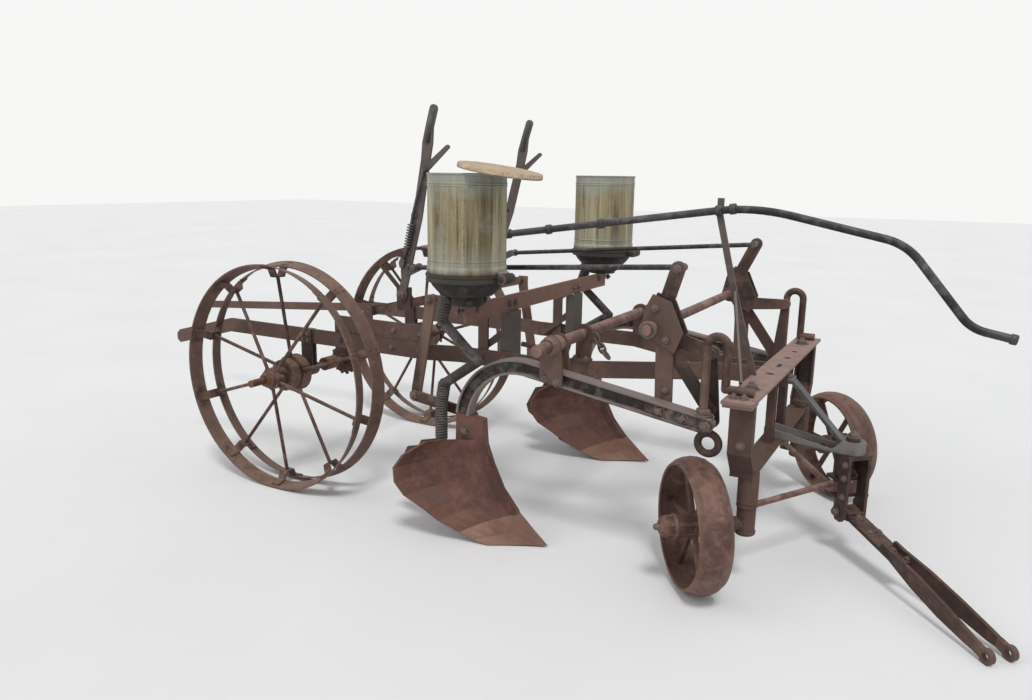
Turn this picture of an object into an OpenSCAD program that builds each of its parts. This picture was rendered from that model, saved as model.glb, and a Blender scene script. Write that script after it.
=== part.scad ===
/* [Rear wheels] */
// Radius of a rear wheel at its outer edges
rear_wheel_radius = 486; // [460:1:500]
// Distance between the middles of the rear wheels
rear_wheel_track = 1092; // [1080:1:1180]
// Width over both hoops of a rear wheel
rear_wheel_width = 172; // [160:1:190]
// Free gap between the two hoops
rear_hoop_gap = 60; // [50:1:80]
// Thickness of the hoop iron
rear_hoop_thickness = 6; // [4:0.5:8]
// How much smaller in radius a hoop is at its inner edge
rear_hoop_taper = 16; // [0:1:20]
// Cross straps that bridge the hoops of a rear wheel
rear_strap_count = 10; // [6:1:14]
// Width of a cross strap
rear_strap_width = 38; // [25:1:50]
// Depth of a cross strap below the hoops
rear_strap_depth = 38; // [25:1:50]
// Radius of a rear spoke
rear_spoke_radius = 7.5; // [5:0.5:10]
// Radius of a rear hub
rear_hub_radius = 36; // [30:1:42]
// Radius of the ratchet case behind a rear hub
ratchet_radius = 80; // [60:1:95]

/* [Rear axle] */
// Radius of the rear axle
rear_axle_radius = 15; // [12:0.5:18]
// Length of the rear axle
rear_axle_length = 1450; // [1440:1:1540]
// Radius of the drive sprocket over its teeth
sprocket_radius = 75; // [60:1:95]
// Teeth on the drive sprocket
sprocket_teeth = 14; // [10:1:20]

/* [Frame] */
// Height of the tops of the two long rails
rail_top = 667; // [655:1:680]
// Depth of a long rail
rail_depth = 64; // [50:1:70]
// Thickness of a long rail
rail_thickness = 12; // [8:1:14]
// Height of the side plates above the rails
side_plate_rise = 73; // [50:1:85]
// Thickness of the side plates
side_plate_thickness = 8; // [6:1:8]
// Thickness of the axle hanger plates
hanger_thickness = 10; // [8:1:12]

/* [Cross plank] */
// Forward place of the cross plank
plank_x = 983; // [975:1:990]
// Length of the cross plank
plank_length = 1244; // [1220:1:1300]
// Height of the cross plank's lower edge
plank_bottom = 825; // [810:1:835]
// Depth of the cross plank
plank_depth = 64; // [55:1:75]
// Thickness of the cross plank
plank_thickness = 12; // [8:1:16]

/* [Hoppers] */
// Distance between the middles of the hoppers
hopper_spacing = 1206; // [1200:1:1230]
// Outer radius of a hopper
hopper_radius = 138; // [125:1:142]
// Height of a hopper
hopper_height = 342; // [300:1:380]
// Wall thickness of a hopper
hopper_wall = 2.5; // [2:0.5:4]
// Height of a cast seed base
seed_base_height = 115; // [110:1:125]
// Radius of a cast seed base
seed_base_radius = 145; // [142:1:150]
// Radius of the hopper lid
lid_radius = 145; // [140:1:160]
// Thickness of the hopper lid
lid_thickness = 16; // [8:1:18]

/* [Row units] */
// Distance between the two rows
row_spacing = 1067; // [1060:1:1080]
// Depth of a gooseneck beam
beam_depth = 56; // [50:1:60]
// Width of a gooseneck beam
beam_width = 46; // [42:1:46]
// Thickness of a beam's web
beam_web = 10; // [8:1:14]
// Thickness of a beam's flanges
beam_flange = 9; // [7:1:11]
// Thickness of a frog
frog_thickness = 36; // [30:1:40]
// Thickness of the share and mouldboards
mouldboard_thickness = 10; // [8:1:12]

/* [Cross shafts] */
// Radius of the cross pipe that carries the beams
cross_pipe_radius = 21; // [18:1:23]
// Length of the cross pipe
cross_pipe_length = 1354; // [1340:1:1400]
// Radius of the rockshaft
rockshaft_radius = 17; // [14:1:19]

/* [Levers and rods] */
// Distance of the levers from the middle of the frame
lever_side = 350; // [349:1:351]
// Thickness of the lever iron
lever_thickness = 10; // [8:1:10]
// Radius of the depth rods
depth_rod_radius = 9.5; // [7:0.5:11]
// Radius of the trip pipe
trip_pipe_radius = 13; // [10:0.5:15]
// Radius of the hairpin rods
hairpin_radius = 14; // [12:0.5:15]

/* [Front truss] */
// Length of the truss's top plate across the frame
truss_length = 1180; // [1160:1:1240]
// Thickness of the truss's top plate
truss_top_thickness = 10; // [8:1:14]
// Height of the bottom plate's upper face
truss_floor = 405; // [400:1:420]
// Distance between the kingpins
kingpin_spacing = 898; // [880:1:920]
// Radius of a kingpin
kingpin_radius = 14; // [12:1:17]

/* [Front wheels] */
// Radius of a front wheel
front_wheel_radius = 226; // [215:1:235]
// Width of a front wheel
front_wheel_width = 107; // [90:1:120]
// Thickness of a front wheel's rim
front_rim_thickness = 9; // [6:1:12]
// Spokes of a front wheel
front_spoke_count = 6; // [4:1:8]
// Distance from a kingpin to the middle of its wheel
front_wheel_offset = 178; // [172:1:185]
// Radius of a front stub axle
stub_radius = 16; // [13:1:18]

/* [Hitch] */
// Length of the tongue from its pin to its tips
tongue_length = 748; // [700:1:800]
// Bore of the hitch eyes at the tongue's tips
hitch_bore = 24; // [20:1:30]

/* [Hidden] */

// Clearance between a shaft and its bore
fit = 0.1;
// Facets asked for on true circles
fine = 32;
// How much a rod swells at a bend
bend_swell = 0.4;

rail_bottom = rail_top - rail_depth;
axle_z = rear_wheel_radius;
row_y = row_spacing / 2;
hopper_y = hopper_spacing / 2;
wheel_y = rear_wheel_track / 2;

// Plan of a rail's middle line, from the rear to the front, on the left side
rail_wide = 380;
rail_narrow = 340;
rail_nose = 45;
rail_plan = [[640, rail_wide], [780, rail_narrow], [1260, rail_narrow], [1790, rail_nose],
  [2000, rail_nose]];
rail_rear_x = -485;
bar_front_x = -250;
bar_rear_x = -1562;
bar_drop = 0.0735;
bar_depth = 42;
rail_tip_x = -870;
rail_tip_drop = 97;
rail_outer = rail_wide + rail_thickness / 2;
rail_inner = rail_wide - rail_thickness / 2;
narrow_outer = rail_narrow + rail_thickness / 2;
narrow_inner = rail_narrow - rail_thickness / 2;

plank_top = plank_bottom + plank_depth;
base_top = plank_top + seed_base_height;

// Gooseneck beam, in the plane of its row
arch_x = 1165;
arch_z = 432;
arch_outer = 268;
arch_inner = arch_outer - beam_depth;
arch_mid = arch_outer - beam_depth / 2;
arch_front_angle = 81.1;
arch_rear_angle = 173;
beam_run = 668;
beam_dir = [sin(arch_front_angle), -cos(arch_front_angle)];
beam_start = [arch_x + arch_mid * cos(arch_front_angle), arch_z + arch_mid * sin(arch_front_angle)];

function beam_top(x) = beam_start[1] + (x - beam_start[0]) * beam_dir[1] / beam_dir[0]
  + beam_depth / 2 / beam_dir[0];
function beam_low(x) = beam_top(x) - beam_depth / beam_dir[0];

cross_pipe_x = 1300;
cross_pipe_z = 768;
rockshaft_x = 1638;
rockshaft_z = 856;

lever_pivot = [519, 860];
kingpin_x = 1975;
kingpin_y = kingpin_spacing / 2;
truss_plate_z = rail_top;
truss_x0 = 1910;
truss_x1 = 2008;

head_x = 2234;
head_turn = -46.6;
near_turn = -53.1;
far_turn = -43.5;
tongue_pin_z = 167;

// The pieces are laid out from a point on the ground under the rear axle, and then moved so that
// the origin is on the ground under the middle of the whole
layout_middle = [606.5, 0];

module placed() {
  translate([-layout_middle[0], -layout_middle[1], 0])
    children();
}

// Left side drawn as it is, right side mirrored
module on_side(s) {
  mirror([0, s < 0 ? 1 : 0, 0])
    children();
}

// Plate in a plane along the frame, its faces at y0 and y1
module side_plate(y0, y1) {
  translate([0, y1, 0])
    rotate([90, 0, 0])
      linear_extrude(height = y1 - y0)
        children();
}

// Plate in a plane across the frame, its faces at x0 and x1; outline in y and z
module cross_plate(x0, x1) {
  translate([x0, 0, 0])
    rotate([90, 0, 90])
      linear_extrude(height = x1 - x0)
        children();
}

// Outline of a flat strip of width w with round ends, from a to b
module strap_2d(a, b, w) {
  d = b - a;
  translate(a)
    rotate(atan2(d[1], d[0])) {
      translate([0, -w / 2])
        square([norm(d), w]);
      circle(d = w, $fn = fine);
      translate([norm(d), 0])
        circle(d = w, $fn = fine);
    }
}

// Outline of a tapering strip, width wa at a and wb at b
module taper_2d(a, b, wa, wb) {
  d = b - a;
  translate(a)
    rotate(atan2(d[1], d[0])) {
      polygon([[0, -wa / 2], [norm(d), -wb / 2], [norm(d), wb / 2], [0, wa / 2]]);
      circle(d = wa, $fn = fine);
      translate([norm(d), 0])
        circle(d = wb, $fn = fine);
    }
}

// Sets what is drawn along Z onto the line from a to b
module along(a, b, roll = 0) {
  d = b - a;
  translate(a)
    rotate([0, acos(d[2] / norm(d)), atan2(d[1], d[0])])
      rotate([0, 0, roll])
        children();
}

// Round rod from a to b
module rod(a, b, r) {
  along(a, b)
    cylinder(h = norm(b - a), r = r, $fn = fine);
}

// Round rod through a row of points, with round bends
module bent_rod(points, r) {
  for (i = [0 : len(points) - 2])
    rod(points[i], points[i + 1], r);
  for (i = [1 : 1 : len(points) - 2])
    translate(points[i])
      sphere(r = r + bend_swell, $fn = fine);
}

function spot(p) = [p[0], p[1]];
function heading(p, q) = atan2(q[1] - p[1], q[0] - p[0]);
function setback(path, i) = i == 0 || i == len(path) - 1 ? 0
  : path[i][2] * tan(abs(heading(path[i], path[i + 1]) - heading(path[i - 1], path[i])) / 2);

// Round pipe in a plane along the frame; each point has its forward place, height and bend radius
module bent_pipe(path, y, r) {
  for (i = [0 : len(path) - 2]) {
    d = unit(spot(path[i + 1]) - spot(path[i]));
    a = spot(path[i]) + setback(path, i) * d;
    b = spot(path[i + 1]) - setback(path, i + 1) * d;
    rod([a[0], y, a[1]], [b[0], y, b[1]], r);
    for (p = [if (i > 0) a, if (i < len(path) - 2) b])
      translate([p[0], y, p[1]])
        sphere(r = r + bend_swell, $fn = fine);
  }
  for (i = [1 : 1 : len(path) - 2]) {
    bend = path[i][2];
    h0 = heading(path[i - 1], path[i]);
    h1 = heading(path[i], path[i + 1]);
    way = h1 > h0 ? 1 : -1;
    centre = spot(path[i]) - setback(path, i) * [cos(h0), sin(h0)] + way * bend * [-sin(h0), cos(h0)];
    translate([centre[0], y, centre[1]])
      rotate([90, 0, 0])
        rotate([0, 0, way > 0 ? h0 - 90 : h1 + 90])
          rotate_extrude(angle = abs(h1 - h0), $fn = 96)
            translate([bend, 0])
              circle(r = r, $fn = fine);
  }
}

// Flat bar from a to b, w wide and t thick
module flat_bar(a, b, w, t, roll = 0) {
  along(a, b, roll)
    translate([-w / 2, -t / 2, 0])
      cube([w, t, norm(b - a)]);
}

// Disc or boss across the frame, its faces at y0 and y1
module boss(x, z, y0, y1, r) {
  translate([x, y1, z])
    rotate([90, 0, 0])
      cylinder(h = y1 - y0, r = r, $fn = fine);
}

function unit(v) = v / norm(v);
function left_of(d) = [-d[1], d[0]];
function miter(p, q, r, h) = let (
    m = left_of(unit(q - p)),
    n = left_of(unit(r - q)),
    s = unit(m + n)
  ) q + s * h / (s * m);
function edge_points(points, h) = let (last = len(points) - 1) concat(
    [points[0] + left_of(unit(points[1] - points[0])) * h],
    [for (i = [1 : 1 : last - 1]) miter(points[i - 1], points[i], points[i + 1], h)],
    [points[last] + left_of(unit(points[last] - points[last - 1])) * h]
  );

// Outline of a strip of thickness t that follows a row of points
module strip_2d(points, t) {
  back = edge_points(points, -t / 2);
  polygon(concat(edge_points(points, t / 2), [for (i = [len(back) - 1 : -1 : 0]) back[i]]));
}

module rail(rear_x) {
  translate([0, 0, rail_bottom])
    linear_extrude(height = rail_depth)
      strip_2d(concat([[rear_x, rail_wide]], rail_plan), rail_thickness);
}

module main_rail_right() {
  color([0.36, 0.24, 0.2]) placed()
    on_side(-1) {
      rail(rail_rear_x);
      side_plate(rail_inner, rail_outer)
        polygon([[rail_rear_x, rail_bottom], [rail_rear_x, rail_top],
          [rail_tip_x + 20, rail_top - rail_tip_drop + 5], [rail_tip_x, rail_top - rail_tip_drop - 15],
          [rail_tip_x, rail_bottom - rail_tip_drop + 20],
          [rail_tip_x + 20, rail_bottom - rail_tip_drop + 4]]);
    }
}

// A long flat bar carries the left rail on to the rear
module main_rail_left() {
  bar_z0 = rail_top - 8;
  bar_z1 = bar_z0 - (bar_front_x - bar_rear_x) * bar_drop;
  color([0.36, 0.24, 0.2]) placed() {
    rail(bar_front_x);
    side_plate(rail_inner, rail_outer)
      polygon([[bar_front_x, bar_z0], [bar_rear_x + 12, bar_z1], [bar_rear_x, bar_z1 - 14],
        [bar_rear_x, bar_z1 - bar_depth + 14], [bar_rear_x + 12, bar_z1 - bar_depth],
        [bar_front_x, bar_z0 - bar_depth]]);
  }
}

side_plate_x0 = 150;
side_plate_x1 = 635;
ear_x = 333;
ear_z = 770;

module side_plates() {
  color([0.34, 0.23, 0.2]) placed()
    for (s = [-1, 1])
      on_side(s)
        side_plate(rail_inner - side_plate_thickness, rail_inner) {
          polygon([[side_plate_x0, rail_bottom], [side_plate_x1, rail_bottom],
            [side_plate_x1, rail_top + side_plate_rise], [side_plate_x0, rail_top + side_plate_rise]]);
          strap_2d([ear_x, rail_top], [ear_x, ear_z], 46);
        }
}

axle_boss_radius = 32;

module axle_hangers() {
  color([0.35, 0.24, 0.21]) placed()
    for (s = [-1, 1])
      on_side(s)
        difference() {
          union() {
            for (y = [rail_inner - hanger_thickness, rail_outer])
              side_plate(y, y + hanger_thickness)
                polygon([[-30, axle_z], [30, axle_z], [30, rail_top], [-30, rail_top]]);
            boss(0, axle_z, rail_inner - hanger_thickness - 14, rail_outer + hanger_thickness + 14,
              axle_boss_radius);
          }
          boss(0, axle_z, 0, rail_outer + 100, rear_axle_radius + fit);
        }
}

collar_radius = 26;
hub_out = 88;
hub_in = 93;

module rear_axle() {
  color([0.42, 0.25, 0.17]) placed() {
    boss(0, axle_z, -rear_axle_length / 2, rear_axle_length / 2, rear_axle_radius);
    boss(0, axle_z, -290, -220, 30);
    for (s = [-1, 1])
      on_side(s) {
        boss(0, axle_z, wheel_y - hub_in - 20 - fit, wheel_y - hub_in - fit, collar_radius);
        boss(0, axle_z, wheel_y + hub_out + fit, wheel_y + hub_out + 18 + fit, collar_radius);
      }
  }
}

sprocket_y = -150;
sprocket_thickness = 20;

module drive_sprocket() {
  color([0.2, 0.17, 0.17]) placed()
    difference() {
      union() {
        boss(0, axle_z, sprocket_y - sprocket_thickness / 2, sprocket_y + sprocket_thickness / 2,
          sprocket_radius - 10);
        boss(0, axle_z, sprocket_y - 30, sprocket_y + 30, 28);
        for (i = [0 : sprocket_teeth - 1])
          translate([0, sprocket_y + 5, axle_z])
            rotate([90, i * 360 / sprocket_teeth, 0])
              linear_extrude(height = 10)
                polygon([[sprocket_radius - 14, -9], [sprocket_radius, -3.5], [sprocket_radius, 3.5],
                  [sprocket_radius - 14, 9]]);
      }
      boss(0, axle_z, -300, 100, rear_axle_radius + fit);
    }
}

// Hoops, straps, spokes and hub of a rear wheel, its axis along Y through the origin
module rear_wheel_shape() {
  hoop_in = rear_hoop_gap / 2;
  hoop_out = rear_wheel_width / 2;
  inner_edge = rear_wheel_radius - rear_hoop_taper;
  strap_top = inner_edge - rear_hoop_thickness;
  strap_low = strap_top - rear_strap_depth;
  strap_end = strap_top + rear_hoop_taper * 44 / (hoop_out - hoop_in) - 3;
  rotate([90, 0, 0])
    for (m = [0, 1])
      mirror([0, 0, m])
        rotate_extrude($fn = 96)
          polygon([[inner_edge, hoop_in], [rear_wheel_radius, hoop_out],
            [rear_wheel_radius - rear_hoop_thickness, hoop_out],
            [inner_edge - rear_hoop_thickness, hoop_in]]);
  for (i = [0 : rear_strap_count - 1])
    rotate([0, i * 360 / rear_strap_count, 0]) {
      translate([-rear_strap_width / 2, 0, 0])
        cross_plate(0, rear_strap_width)
          strip_2d([[-hoop_in - 44, strap_end], [-hoop_in - 4, strap_top - 2],
            [-hoop_in + 10, strap_low + 4], [hoop_in - 10, strap_low + 4],
            [hoop_in + 4, strap_top - 2], [hoop_in + 44, strap_end]], 8);
      rod([0, (i % 2 == 0 ? -1 : 1) * 60, rear_hub_radius - 4], [0, 0, strap_low + 2], rear_spoke_radius);
    }
}

module rear_wheel(s) {
  translate([0, 0, axle_z])
    on_side(s)
      translate([0, wheel_y, 0])
        difference() {
          union() {
            rear_wheel_shape();
            boss(0, 0, -hub_in, hub_out, rear_hub_radius);
            for (y = [-60, 60])
              boss(0, 0, y - 10, y + 10, rear_hub_radius + 10);
            boss(0, 0, 50 - hub_in - 1, 90 - hub_in, ratchet_radius - 12);
            boss(0, 0, -hub_in, 42 - hub_in, ratchet_radius);
          }
          boss(0, 0, -hub_in - 1, hub_out + 1, rear_axle_radius + fit);
        }
}

module rear_wheel_right() {
  color([0.33, 0.22, 0.2]) placed()
    rear_wheel(-1);
}

module rear_wheel_left() {
  color([0.33, 0.22, 0.2]) placed()
    rear_wheel(1);
}

module cross_plank() {
  color([0.42, 0.28, 0.23]) placed()
    translate([plank_x - plank_thickness / 2, -plank_length / 2, plank_bottom])
      cube([plank_thickness, plank_length, plank_depth]);
}

post_width = 90;
post_depth = 40;
post_wall = 8;

module plank_posts() {
  color([0.17, 0.22, 0.19]) placed()
    for (s = [-1, 1])
      on_side(s)
        translate([plank_x - post_depth / 2, narrow_inner - post_width, rail_bottom])
          difference() {
            cube([post_depth, post_width, plank_bottom - rail_bottom]);
            translate([-1, post_wall, -1])
              cube([post_depth - post_wall + 1, post_width - 2 * post_wall, plank_bottom]);
          }
}

module plank_braces() {
  color([0.38, 0.26, 0.22]) placed()
    for (s = [-1, 1])
      on_side(s) {
        side_plate(narrow_inner - 10, narrow_inner)
          strip_2d([[881, rail_bottom], [881, 800], [plank_x - plank_thickness / 2 - 11.8, 854]], 44);
        side_plate(narrow_inner - 20, narrow_inner - 10)
          polygon([[785, 612], [807, 606], [plank_x - post_depth / 2, 717],
            [plank_x - post_depth / 2, 755]]);
        boss(806, 632, narrow_inner - 11, narrow_inner, 12);
      }
}

base_x = 980;
hinge_x = 1140;
hinge_z = base_top - 12;
hinge_radius = 9;
tube_seat = 78;

base_rim = 28;
base_foot_radius = 60;

module seed_base(s) {
  on_side(s)
    translate([0, hopper_y, 0]) {
      difference() {
        translate([base_x, 0, base_top])
          rotate_extrude($fn = 96)
            polygon([[0, 0], [seed_base_radius, 0], [seed_base_radius, -base_rim],
              [seed_base_radius - 13, -base_rim - 2], [seed_base_radius - 22, -base_rim - 18],
              [seed_base_radius - 38, -base_rim - 36], [seed_base_radius - 52, -tube_seat],
              [base_foot_radius, -tube_seat], [base_foot_radius, -seed_base_height],
              [0, -seed_base_height]]);
        boss(hinge_x, hinge_z, -20.5, 20.5, hinge_radius + 9);
      }
      for (y = [-34, 20])
        difference() {
          union() {
            boss(hinge_x, hinge_z, y, y + 14, hinge_radius + 9);
            translate([hinge_x - 34, y, base_top - base_rim])
              cube([34, 14, base_rim - 8]);
          }
          boss(hinge_x, hinge_z, y - 1, y + 15, hinge_radius + fit);
        }
    }
}

module seed_base_right() {
  color([0.14, 0.15, 0.13]) placed()
    seed_base(-1);
}

module seed_base_left() {
  color([0.14, 0.15, 0.13]) placed()
    seed_base(1);
}

tube_radius = 19;
tube_rib_radius = 22;

module seed_tube(s) {
  on_side(s) {
    bent_rod([[890, hopper_y, base_top - tube_seat], [890, hopper_y, base_top - tube_seat - 34],
      [868, hopper_y, 824]], tube_rib_radius);
    bent_rod([[868, hopper_y, 824], [1025, hopper_y, 685], [840, row_y + 10, 566]], tube_radius);
    translate([840, row_y + 10, 566])
      sphere(r = tube_rib_radius, $fn = fine);
    bent_rod([[840, row_y + 10, 566], [818, row_y, 480], [818, row_y, 300]], tube_rib_radius);
  }
}

module seed_tube_right() {
  color([0.24, 0.22, 0.22]) placed()
    seed_tube(-1);
}

module seed_tube_left() {
  color([0.24, 0.22, 0.22]) placed()
    seed_tube(1);
}

bar_y0 = lever_side - 6;
bar_y1 = lever_side + 6;
quadrant_y1 = bar_y1 + 12;
lever_y1 = quadrant_y1 + lever_thickness;
bar_rear = [ear_x, ear_z];
bar_front = [652, 851];
quadrant_radius = 165;

module lever_bars() {
  color([0.4, 0.27, 0.23]) placed()
    for (s = [-1, 1])
      on_side(s) {
        side_plate(bar_y0, bar_y1)
          strap_2d(bar_rear, bar_front, 38);
        boss(bar_rear[0], bar_rear[1], bar_y1 - 1, rail_inner - side_plate_thickness, 14);
        boss(bar_front[0], bar_front[1], bar_y1 - 1, rail_outer - 6, 14);
      }
}

module quadrants() {
  color([0.3, 0.21, 0.2]) placed()
    for (s = [-1, 1])
      on_side(s)
        side_plate(bar_y1, quadrant_y1) {
          polygon([[lever_pivot[0] - 34, 800], [lever_pivot[0] + 35, 800], [lever_pivot[0] + 35, 890],
            [lever_pivot[0] - 34, 890]]);
          difference() {
            circle_ring_2d(lever_pivot, quadrant_radius - 10, quadrant_radius + 10);
            translate(lever_pivot)
              polygon([[0, 0], [600, 0], [600, -600], [-600, -600], [-600, 504], [0, 0]]);
            translate(lever_pivot)
              polygon([[0, 0], [40, 600], [600, 600], [600, -10]]);
          }
          for (a = [92, 136])
            strap_2d(lever_pivot + 20 * [cos(a), sin(a)],
              lever_pivot + (quadrant_radius - 4) * [cos(a), sin(a)], 14);
          for (a = [96 : 4 : 132])
            translate(lever_pivot)
              rotate(a)
                translate([quadrant_radius + 6, -3])
                  square([9, 6]);
        }
}

module circle_ring_2d(c, r0, r1) {
  translate(c)
    difference() {
      circle(r = r1, $fn = 96);
      circle(r = r0, $fn = 96);
    }
}

// Middle lines and widths of the levers, measured from their pivots
right_lever_path = [[0, 0, 34], [45, 181, 40], [82, 318, 42], [123, 536, 40], [133, 600, 46],
  [143, 660, 34], [162, 725, 34]];
left_lever_path = [[0, 0, 34], [24, 179, 40], [72, 314, 42], [128, 529, 40], [140, 592, 46],
  [152, 651, 34], [173, 715, 34]];

module lever(s, path) {
  branch = path[3] - [4, 38, 0];
  on_side(s)
    side_plate(quadrant_y1, lever_y1) {
      for (i = [0 : len(path) - 2])
        taper_2d(lever_pivot + spot(path[i]), lever_pivot + spot(path[i + 1]), path[i][2], path[i + 1][2]);
      taper_2d(lever_pivot + spot(branch), lever_pivot + spot(branch) + [106, 86], 26, 16);
      taper_2d(lever_pivot + [20, 90], lever_pivot + [85, 118], 34, 30);
    }
}

module lever_right() {
  color([0.36, 0.27, 0.27]) placed()
    lever(-1, right_lever_path);
}

module lever_left() {
  color([0.36, 0.27, 0.27]) placed()
    lever(1, left_lever_path);
}

strap_foot_y = 475;
strap_thickness = 10;
strap_foot_z = 484;
link_foot = [664, 482];
link_front = [938, 444];
frog_face = row_y - frog_thickness / 2;

module hanger_straps() {
  color([0.42, 0.29, 0.25]) placed()
    for (s = [-1, 1])
      on_side(s) {
        cross_plate(642, 688)
          strip_2d([[rail_outer - 1, 872], [rail_outer - 1, 826], [strap_foot_y + 5, 505],
            [strap_foot_y + 5, 458]], strap_thickness);
        side_plate(strap_foot_y + strap_thickness, strap_foot_y + strap_thickness + 12)
          taper_2d(link_foot, link_front, 44, 36);
        boss(link_front[0], link_front[1], strap_foot_y + strap_thickness + 11, frog_face, 13);
      }
}

depth_rod_y = 400;

module depth_rod(s, front) {
  on_side(s) {
    rod([lever_pivot[0] + 85, depth_rod_y, lever_pivot[1] + 118], front, depth_rod_radius);
    boss(lever_pivot[0] + 85, lever_pivot[1] + 118, lever_y1, depth_rod_y + 10, 12);
  }
}

crank_y0 = 464;
crank_y1 = 476;
crank_eye_right = [1705, 1053];
crank_eye_left = [1735, 1074];

module depth_rod_right() {
  color([0.2, 0.2, 0.24]) placed() {
    depth_rod(-1, [crank_eye_right[0], depth_rod_y + 20, crank_eye_right[1]]);
    on_side(-1)
      boss(crank_eye_right[0], crank_eye_right[1], depth_rod_y + 8, crank_y0, 13);
  }
}

module depth_rod_left() {
  color([0.2, 0.2, 0.24]) placed() {
    depth_rod(1, [crank_eye_left[0], depth_rod_y + 20, crank_eye_left[1]]);
    on_side(1)
      boss(crank_eye_left[0], crank_eye_left[1], depth_rod_y + 8, crank_y0, 13);
  }
}

trip_y = -250;
// Course of the trip pipe: forward place, height and radius of the bend there
trip_path = [[935, 1117, 0], [1881, 1250, 700], [2350, 1150, 180], [2550, 908, 110], [2674, 885, 0]];

module trip_pipe() {
  color([0.22, 0.22, 0.26]) placed()
    bent_pipe(trip_path, trip_y, trip_pipe_radius);
}

module trip_guide() {
  color([0.5, 0.36, 0.3]) placed() {
    side_plate(trip_y + trip_pipe_radius + bend_swell, trip_y + trip_pipe_radius + 8)
      difference() {
        strip_2d([[1765, 1275], [1765, 1215], [1830, 960], [1922, truss_top_z - 20]], 22);
        translate([1850, truss_top_z - 80])
          square([120, 80]);
      }
    flat_bar([1918, -413, rail_top + truss_top_thickness + 9], [1834, -240, 960], 20, 8, 0);
  }
}

module cross_pipe() {
  color([0.42, 0.29, 0.25]) placed() {
    boss(cross_pipe_x, cross_pipe_z, -cross_pipe_length / 2, cross_pipe_length / 2, cross_pipe_radius);
    for (s = [-1, 1])
      on_side(s)
        for (y = [row_y, row_y + beam_width / 2 + ear_thickness + 17])
          boss(cross_pipe_x, cross_pipe_z, y - (y == row_y ? beam_width / 2 : 16),
            y + (y == row_y ? beam_width / 2 : 16), cross_pipe_radius + 9);
  }
}

bracket_y0 = 288;
bracket_y1 = 300;

module pipe_brackets() {
  color([0.36, 0.25, 0.22]) placed()
    for (s = [-1, 1])
      on_side(s)
        difference() {
          union() {
            translate([cross_pipe_x - 35, bracket_y0, rail_top])
              cube([70, 44, 8]);
            side_plate(bracket_y0, bracket_y1) {
              polygon([[cross_pipe_x - 30, rail_top + 4], [cross_pipe_x + 30, rail_top + 4],
                [cross_pipe_x + 30, cross_pipe_z], [cross_pipe_x - 30, cross_pipe_z]]);
              translate([cross_pipe_x, cross_pipe_z])
                circle(r = 36, $fn = fine);
            }
          }
          boss(cross_pipe_x, cross_pipe_z, 200, 400, cross_pipe_radius + fit);
        }
}

beam_pin_x = 1851;
ring_radius = 34;
ring_iron = 12;
beam_pin_z = beam_top(beam_pin_x) - beam_depth / 2 / beam_dir[0];

// Outline of the part of a beam that lies between r0 and r1 from the arch's centre
module beam_layer_2d(r0, r1) {
  reach = 2 * arch_outer;
  n = [-beam_dir[1], beam_dir[0]];
  a = [cos(arch_front_angle), sin(arch_front_angle)];
  b = [cos(arch_rear_angle), sin(arch_rear_angle)];
  difference() {
    circle_ring_2d([arch_x, arch_z], r0, r1);
    translate([arch_x, arch_z])
      polygon([[0, 0], a * reach, [reach, reach], [reach, -reach], [-reach, -reach], b * reach]);
  }
  polygon([[arch_x, arch_z] + a * r0, [arch_x, arch_z] + a * r1,
    [arch_x, arch_z] + a * r1 + beam_dir * beam_run, [arch_x, arch_z] + a * r0 + beam_dir * beam_run]);
}

module beam(s) {
  on_side(s) {
    side_plate(row_y - beam_web / 2, row_y + beam_web / 2)
      beam_layer_2d(arch_inner, arch_outer);
    side_plate(row_y - beam_width / 2, row_y + beam_width / 2) {
      beam_layer_2d(arch_inner, arch_inner + beam_flange);
      beam_layer_2d(arch_outer - beam_flange, arch_outer);
    }
    side_plate(row_y - beam_web / 2 - 12, row_y + beam_web / 2 + 12)
      polygon([[1640, beam_low(1640) + 4], [1842, beam_low(1842) + 4], [1842, beam_top(1842) - 4],
        [1640, beam_top(1640) - 4]]);
    boss(beam_pin_x, beam_pin_z, row_y - 19, row_y + 19, 22);
    translate([beam_pin_x + 5, row_y, beam_low(beam_pin_x) - ring_radius])
      rotate([90, 0, 0])
        rotate_extrude($fn = 96)
          translate([ring_radius, 0])
            circle(r = ring_iron, $fn = fine);
  }
}

module beam_right() {
  color([0.3, 0.24, 0.22]) placed()
    beam(-1);
}

module beam_left() {
  color([0.3, 0.24, 0.22]) placed()
    beam(1);
}

ear_thickness = 10;

module beam_ears() {
  color([0.38, 0.25, 0.22]) placed()
    for (s = [-1, 1])
      for (e = [-1, 1])
        on_side(s)
          translate([0, row_y + e * (beam_width / 2 + ear_thickness / 2), 0])
            difference() {
              side_plate(-ear_thickness / 2, ear_thickness / 2) {
                polygon([[1256, beam_low(1256) + 8], [1345, beam_low(1345) + 8],
                  [1345, beam_top(1345)], [cross_pipe_x + 34, cross_pipe_z],
                  [cross_pipe_x - 34, cross_pipe_z], [1256, beam_top(1256)]]);
                translate([cross_pipe_x, cross_pipe_z])
                  circle(r = 36, $fn = fine);
              }
              boss(cross_pipe_x, cross_pipe_z, -20, 20, cross_pipe_radius + fit);
            }
}

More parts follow.
